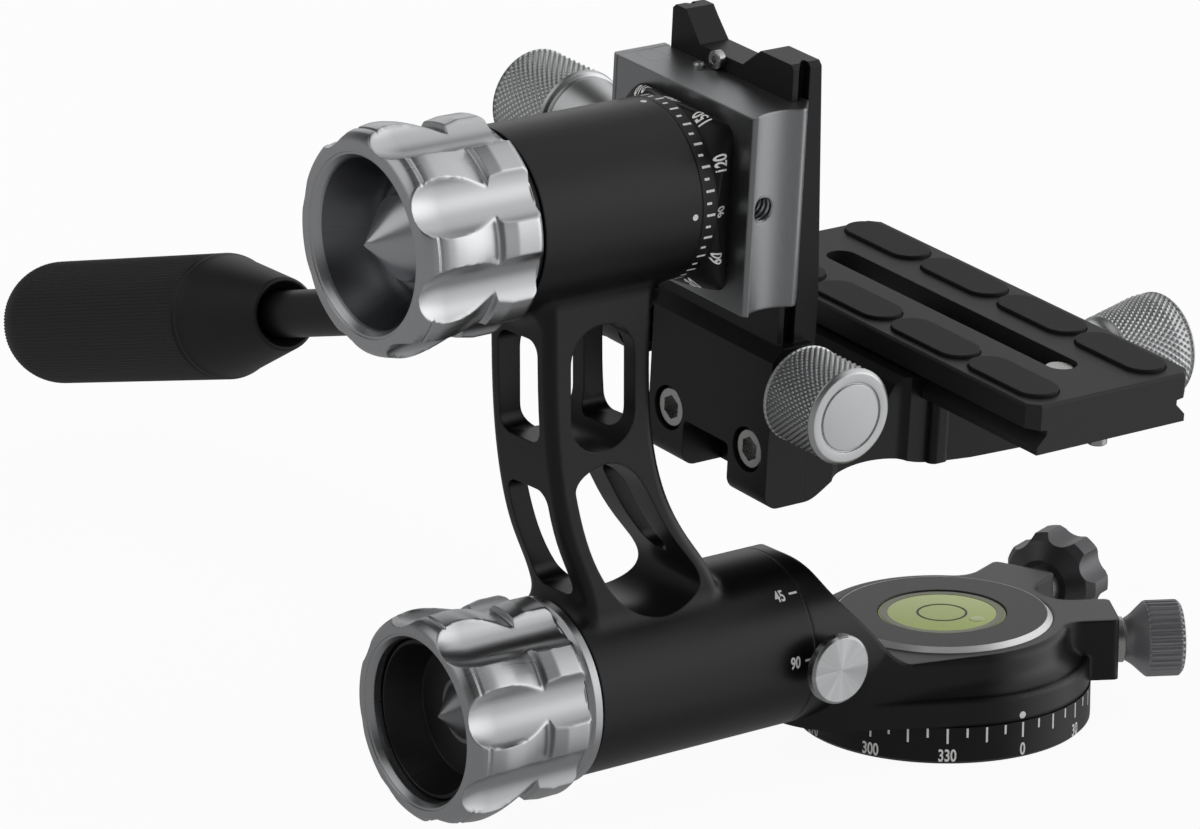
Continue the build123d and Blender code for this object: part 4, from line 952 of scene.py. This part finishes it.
@dataclass
class TiltJoint:
    """Arm, upper knob with its cone, and the tilt scale."""

    mouth: float = -138.9
    rear: float = -111.8

    def build(self) -> None:
        """Dresses the arm and the joint and adds its scale."""
        dress(CASTING, "swing_arm")
        axis = Axis((self.rear, 0, TILT_Z), (-1, 0, 0))
        satin = replace(SATIN, name="turned_aluminium_tilt_knob", colour="#c4c5c7", axis=axis)
        # painted shade: the knob's inside, within radius 16.1 of its axis, is a darker grey for the shade in
        # its mouth
        painted_shade_bowl = replace(satin, name="turned_aluminium_tilt_bowl_painted_shade", middle="#77787b", middle_r=16.1)
        knob = ScallopedKnob(axis, self.rear - self.mouth, 22.0, 16.3, 13.4, 11.4, first=29.5)
        knob.make("tilt_knob_scalloped", "tilt_grip", painted_shade_bowl, "tilt_knob")
        dress(satin, "tilt_knob_hub")
        dress(STEEL, "tilt_bearing_inner", "tilt_bearing_outer", "tilt_shaft")
        dress(BLACK, "tilt_flange", "tilt_dial")
        self.scale()
        self.dots()

    def scale(self) -> None:
        """Ticks round the tilt dial, and a number every thirty degrees, read upwards."""
        axis = Axis((0, 0, TILT_Z), (1, 0, 0), level=False)
        drum, slope = Drum(axis, DIAL_R), Drum(axis, 17.0, node="tilt_dial")
        marks = []
        for reading, long, number in graduations():
            length = 1.9 if long else 1.1
            angle = round_angle(reading - 90)
            marks.append(drum.wrap(bar(length, 0.48), angle, -72.8 + length / 2, Reading.ALONG))
            if number:
                marks.append(slope.wrap(lettering(number, 2.3), angle, -69.0, Reading.ROUND, up=-1.0))
        inked("tilt_scale", marks, "cradle", Slot.BLACK)

    def dots(self) -> None:
        """Two white dots on the upper tube that the scale is read at."""
        drum = Drum(Axis((0, 0, TILT_Z), (1, 0, 0)), DIAL_R)
        marks = [drum.wrap(dot(0.62), round_angle(above), -75.5, Reading.ALONG) for above in (86.0, -4.0)]
        inked("tilt_index", marks, "arm", Slot.CASTING)


@dataclass
class RailClamp:
    """Brushed clamp block that holds the cradle bar, with its knob and accessory thread."""

    stud_x: float = -61.5
    top: float = 140.4

    def build(self) -> None:
        """Dresses the clamp, knurls its knob and cuts the thread."""
        dress(CLAMP, "clamp_body", "clamp_jaw")
        dress(STEEL, "clamp_pin", "clamp_guides", "clamp_stud")
        corners = (
            (0, 0, 0), (7.0, 0, 0.3), (7.0, 2.6, 0.3), (7.4, 3.6, 0.6), (9.4, 11.2, 0.2), (9.15, 11.6, 0.1),
            (9.15, 12.4, 0.1), (9.9, 12.8, 0.1), (10.2, 13.4, 0.1), (10.2, 28.3, 0.3), (9.3, 29.1, 0.3),
            (0, 29.1, 0),
        )
        stud = Axis((self.stud_x, 25.3, TILT_Z), (0, 1, 0), level=False)
        knob = KnurledKnob(stud, corners, 50, 1.6, 0.5, knurl=(13.5, 28.2), fine=(13.0, 28.4))
        knob.make("clamp_knob_knurled", "clamp_grip", "clamp_knob")
        self.outline()
        hole = Axis((self.stud_x, -20.3, TILT_Z), (0, 1, 0), level=False)
        points, faces = thread(radius=2.5, height=0.22, pitch=1.27, length=8.5)
        piece("accessory_thread", hole.place(points), faces, "cradle", SILVER, Slot.BRUSHED)

    def outline(self) -> None:
        """Fine rectangle scribed on the clamp's top: a loop of square section, between two rectangles."""
        line, sunk, proud = 0.16, 0.03, 0.02
        low, high = np.array((-62.2, 15.4)), np.array((-57.4, 21.1))
        corners = np.array(((0, 0), (1, 0), (1, 1), (0, 1)), float)
        rings = []
        for inset, z in ((0.0, -sunk), (0.0, proud), (line, proud), (line, -sunk)):
            spots = low + inset + corners * (high - low - 2 * inset)
            rings.append(np.column_stack([spots, np.full(4, self.top + z)]))
        points = np.vstack(rings + rings[:1])
        piece("clamp_scribed_outline", tilted(points), grid_faces(5, 4), "cradle", STEEL, Slot.BRUSHED)


def thread(radius: float, height: float, pitch: float, length: float) -> Surface:
    """An inside thread: a small triangle carried round a helix, which shrinks to nothing at both ends.

    Args:
        radius: of the hole.
        height: how far the ridge stands in.
        pitch: rise of one turn.
        length: rise of the whole thread.

    Returns:
        Points and faces.
    """
    smooth, fade, root, half = 32, 12, 0.15, 0.35
    steps = round(length / pitch * smooth)
    t = np.arange(steps + 1) / steps
    turn = t * length / pitch * 2 * np.pi
    full = np.minimum(1, np.minimum(t, 1 - t) * steps / fade)
    r = radius + root - np.outer(full, (0.0, height + root, 0.0))
    z = t[:, None] * length + np.outer(full, (-pitch * half, 0.0, pitch * half))
    points = np.stack([r * np.cos(turn)[:, None], r * np.sin(turn)[:, None], z], -1).reshape(-1, 3)
    return points, grid_faces(steps + 1, 3)


@dataclass
class Cradle:
    """Upright bar, its block and the platform under the plate."""

    def build(self) -> None:
        """Dresses the bar and its platform."""
        dress(BLACK, "cradle_bar", "platform")
        dress(STEEL, "platform_screws", "bar_stop_screw")


@dataclass
class Handle:
    """Pan handle: its knob, socket, rod and ribbed grip."""

    drop: float = math.radians(19.4)
    root: Vec3 = (-51.0, 31.0, 84.5)
    start: float = 129.7
    radius: float = 13.66
    ribs: int = 104

    def axis(self, distance: float) -> Axis:
        """The rod's axis, from a distance along it."""
        way = np.array((0.0, math.cos(self.drop), -math.sin(self.drop)))
        return Axis(tuple(np.array(self.root) + way * distance), tuple(way), level=False)

    def build(self) -> None:
        """Dresses the rod and socket, knurls the knob and ribs the grip."""
        dress(BLACK, "handle_socket", "handle_rod")
        dress(STEEL, "handle_bolt")
        self.knob()
        self.grip()

    def knob(self) -> None:
        """Knurled knob with a flat cap and a thin ring cut in it."""
        corners = (
            (0, 0, 0), (9.0, 0, 0.3), (9.6, 0.6, 0.2), (9.6, 14.5, 0.2), (8.9, 15.3, 0.2), (7.05, 15.3, 0.05),
            (7.0, 14.95, 0), (6.65, 14.95, 0), (6.6, 15.3, 0.05), (0, 15.3, 0),
        )
        stud = Axis((-51.3, -22.3, 83.4), (0, -1, 0), level=False)
        knob = KnurledKnob(stud, corners, 48, 1.5, 0.48, knurl=(0.9, 14.3), fine=(0.5, 14.6))
        knob.make("handle_knob_knurled", "handle_lock", "handle_knob")

    def grip(self) -> None:
        """Ribbed grip: a smooth cone with a recess round the rod, a bright groove, ribs, and a round end."""
        r, cone_z, dome_z, rib, fade_r = self.radius, 25.4, 93.6, 0.13, 4.0
        t = np.linspace(0, np.pi / 2, 18)[1:]
        corners = (
            (0, 24, 0), (5.06, 24, 0), (5.06, 4.0, 0.4), (6.6, 1.0, 0.5), (7.2, 0.15, 0.5), (7.9, 0.6, 0.4),
            (13.1, 21.8, 1.2), (r, 23.2, 0.3), (r, 23.7, 0.1), (13.15, 24.0, 0.1), (13.15, 24.4, 0.1),
            (r, cone_z, 0.1), (r, dome_z, 0),
        )
        dome = np.column_stack([r * np.cos(t), dome_z + r * np.sin(t)])
        profile = np.vstack([divided(rounded(corners), cone_z, dome_z, 6.0), dome])

        def ribs(radius: Array, z: Array, a: Array) -> Array:
            """Ribs are a cosine round the grip, which fades out up the dome."""
            fade = np.clip((radius - fade_r) / fade_r, 0, 1) * (z > cone_z + 0.05)
            return rib * (np.cos(a * self.ribs) - 1) * fade

        points, faces = turned(profile, self.ribs * RIB_COLUMNS, ribs)
        points = self.axis(self.start).place(points)
        piece("grip_ribbed", points, faces, "handle", GRIP, Slot.GRIP, ["handle_grip"], sharp=70)


@dataclass
class PlateClamp:
    """Clamp under the plate: its jaw and its flared knob."""

    def build(self) -> None:
        """Dresses the jaw and knurls the knob."""
        dress(BLACK, "plate_jaw")
        dress(STEEL, "plate_guides", "plate_stud")
        corners = (
            (0, 0, 0), (7.2, 0, 0.2), (7.5, 0.4, 0.2), (7.5, 3.0, 0.8), (8.6, 4.6, 0.4), (10.9, 16.5, 0.4),
            (10.9, 19.6, 0.3), (10.2, 20.4, 0.3), (0, 20.4, 0),
        )
        low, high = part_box("plate_knob")
        centre = (low + high) / 2 / MM
        stud = Axis((low.x / MM, centre.y, centre.z), (1, 0, 0))
        knob = KnurledKnob(stud, corners, 50, 1.7, 0.5, knurl=(4.8, 19.5), fine=(4.6, 19.7))
        knob.make("plate_knob_knurled", "plate_grip", "plate_knob")


@dataclass
class QuickPlate:
    """Dovetail plate with rubber pads, stop screws and the captive camera screw."""

    def build(self) -> None:
        """Dresses the plate and what it carries."""
        dress(MATTE, "quick_plate")
        dress(RUBBER, "plate_pads")
        dress(STEEL, "plate_stop_screws", "camera_screw")


# -------- studio


@dataclass
class Studio:
    """Floor, soft lights, world and camera.

    The panels are soft bright patches of the world that only metal shows: a direction, the cosines between
    which each rises to its full light, and that light.
    """

    eye: Vec3 = (-789.3, -964.0, 461.0)
    right: Vec3 = (0.8075, -0.5899, 0.0009)
    down: Vec3 = (-0.1792, -0.2468, -0.9524)
    lens: float = 198.0
    centre: Vec3 = (-45.0, 10.0, 80.0)
    panels: tuple = (
        ((0.79, -0.61, 0.0), 0.68, 0.95, 0.65),
        ((0.80, -0.25, 0.45), 0.60, 0.90, 0.85),
        ((0.56, 0.71, 0.42), 0.88, 0.97, 0.60),
        ((-0.62, 0.17, 0.75), 0.80, 0.95, 0.7),
    )

    def build(self) -> None:
        """Makes the whole studio."""
        self.floor()
        self.world()
        self.lamp("key", (0.80, -0.60, 0.42), 1.35, 1.1, 4.5)
        self.lamp("fill", (-0.90, -0.35, 0.25), 1.30, 0.7, 2.0)
        self.lamp("rim", (-0.2, 0.9, 0.75), 1.3, 0.7, 3.0)
        self.camera()
        bpy.context.scene.view_settings.view_transform = "Standard"

    def floor(self) -> None:
        """Pale floor that reads near white, keeps a soft shadow and isn't seen in metal."""
        half, to_camera = 6.0, 0.94
        mesh = bpy.data.meshes.new("studio_floor")
        corners = [(-half, -half, 0), (half, -half, 0), (half, half, 0), (-half, half, 0)]
        mesh.from_pydata(corners, [], [(0, 1, 2, 3)])
        made = added("studio_floor", mesh)
        paint = bpy.data.materials.new("white_studio_floor")
        tree = emptied(paint)
        rays = node(tree, "LightPath").outputs
        plain = node(tree, "BsdfDiffuse", Color=linear("#f4f4f4"))
        glow = node(tree, "Emission", Color=WHITE, Strength=1.0)
        share = node(tree, "Math", {"operation": "MULTIPLY"}, i0=rays["Is Camera Ray"], i1=to_camera)
        mix = node(tree, "MixShader", Fac=share, i1=plain, i2=glow)
        clear = node(tree, "BsdfTransparent")
        last = node(tree, "MixShader", Fac=rays["Is Glossy Ray"], i1=mix, i2=clear)
        node(tree, "OutputMaterial", Surface=last)
        mesh.materials.append(paint)

    def world(self) -> None:
        """White to the camera, a bright horizon under a dark ceiling to metal, soft grey to the rest."""
        smooth = {"interpolation_type": "SMOOTHSTEP"}
        world = bpy.data.worlds.new("studio")
        bpy.context.scene.world = world
        tree = emptied(world)
        way = node(tree, "TexCoord").outputs["Generated"]
        height = node(tree, "SeparateXYZ", Vector=way).outputs["Z"]
        glow = node(
            tree, "MapRange", smooth, Value=height, From_Min=0.05, From_Max=0.65, To_Min=0.30, To_Max=0.04
        )
        for toward, low, high, strength in self.panels:
            toward = tuple(Vector(toward).normalized())
            facing = node(tree, "VectorMath", {"operation": "DOT_PRODUCT"}, i0=way, i1=toward)
            share = facing.outputs["Value"]
            panel = node(tree, "MapRange", smooth, Value=share, From_Min=low, From_Max=high, To_Max=strength)
            glow = node(tree, "Math", {"operation": "ADD"}, i0=glow, i1=panel)
        metal, soft, white = (node(tree, "Background", Color=WHITE, Strength=s) for s in (glow, 0.45, 1.0))
        rays = node(tree, "LightPath").outputs
        first = node(tree, "MixShader", Fac=rays["Is Glossy Ray"], i1=soft, i2=metal)
        through = {"i0": rays["Is Camera Ray"], "i1": rays["Is Transmission Ray"]}
        clear = node(tree, "Math", {"operation": "MAXIMUM"}, **through)
        last = node(tree, "MixShader", Fac=clear, i1=first, i2=white)
        node(tree, "OutputWorld", Surface=last)

    def lamp(self, name: str, way: Vec3, distance: float, size: float, power: float) -> None:
        """A square soft box that faces the object and isn't seen in metal.

        Args:
            name: the lamp's name.
            way: direction from the object's centre.
            distance: from the centre, in metres.
            size: side of the box in metres.
            power: in watts.
        """
        light = bpy.data.lights.new(name, "AREA")
        light.shape, light.size, light.energy = "SQUARE", size, power
        made = added(name, light)
        toward = Vector(way).normalized()
        made.location = Vector(self.centre) * MM + toward * distance
        made.rotation_euler = toward.to_track_quat("Z", "Y").to_euler()
        made.visible_glossy = False

    def camera(self) -> None:
        """The camera, a long lens from above the knobs."""
        data = bpy.data.cameras.new("camera")
        data.lens, data.sensor_width = self.lens, 36.0
        data.clip_start, data.clip_end = 0.05, 50.0
        made = added("camera", data)
        right, up = Vector(self.right), -Vector(self.down)
        turn = Matrix((right, up, right.cross(up))).transposed()
        made.matrix_world = Matrix.Translation(Vector(self.eye) * MM) @ turn.to_4x4()
        bpy.context.scene.camera = made


def main() -> None:
    """Builds every sub-assembly and the studio."""
    logging.basicConfig(level=logging.INFO, format="%(message)s")
    parts = (
        PanBase(), PanKnobs(), FoldJoint(), TiltJoint(), RailClamp(), Cradle(), Handle(), PlateClamp(),
        QuickPlate(), Studio(),
    )
    for part in parts:
        part.build()
        LOG.info("built %s", type(part).__name__)


if __name__ == "__main__":
    main()
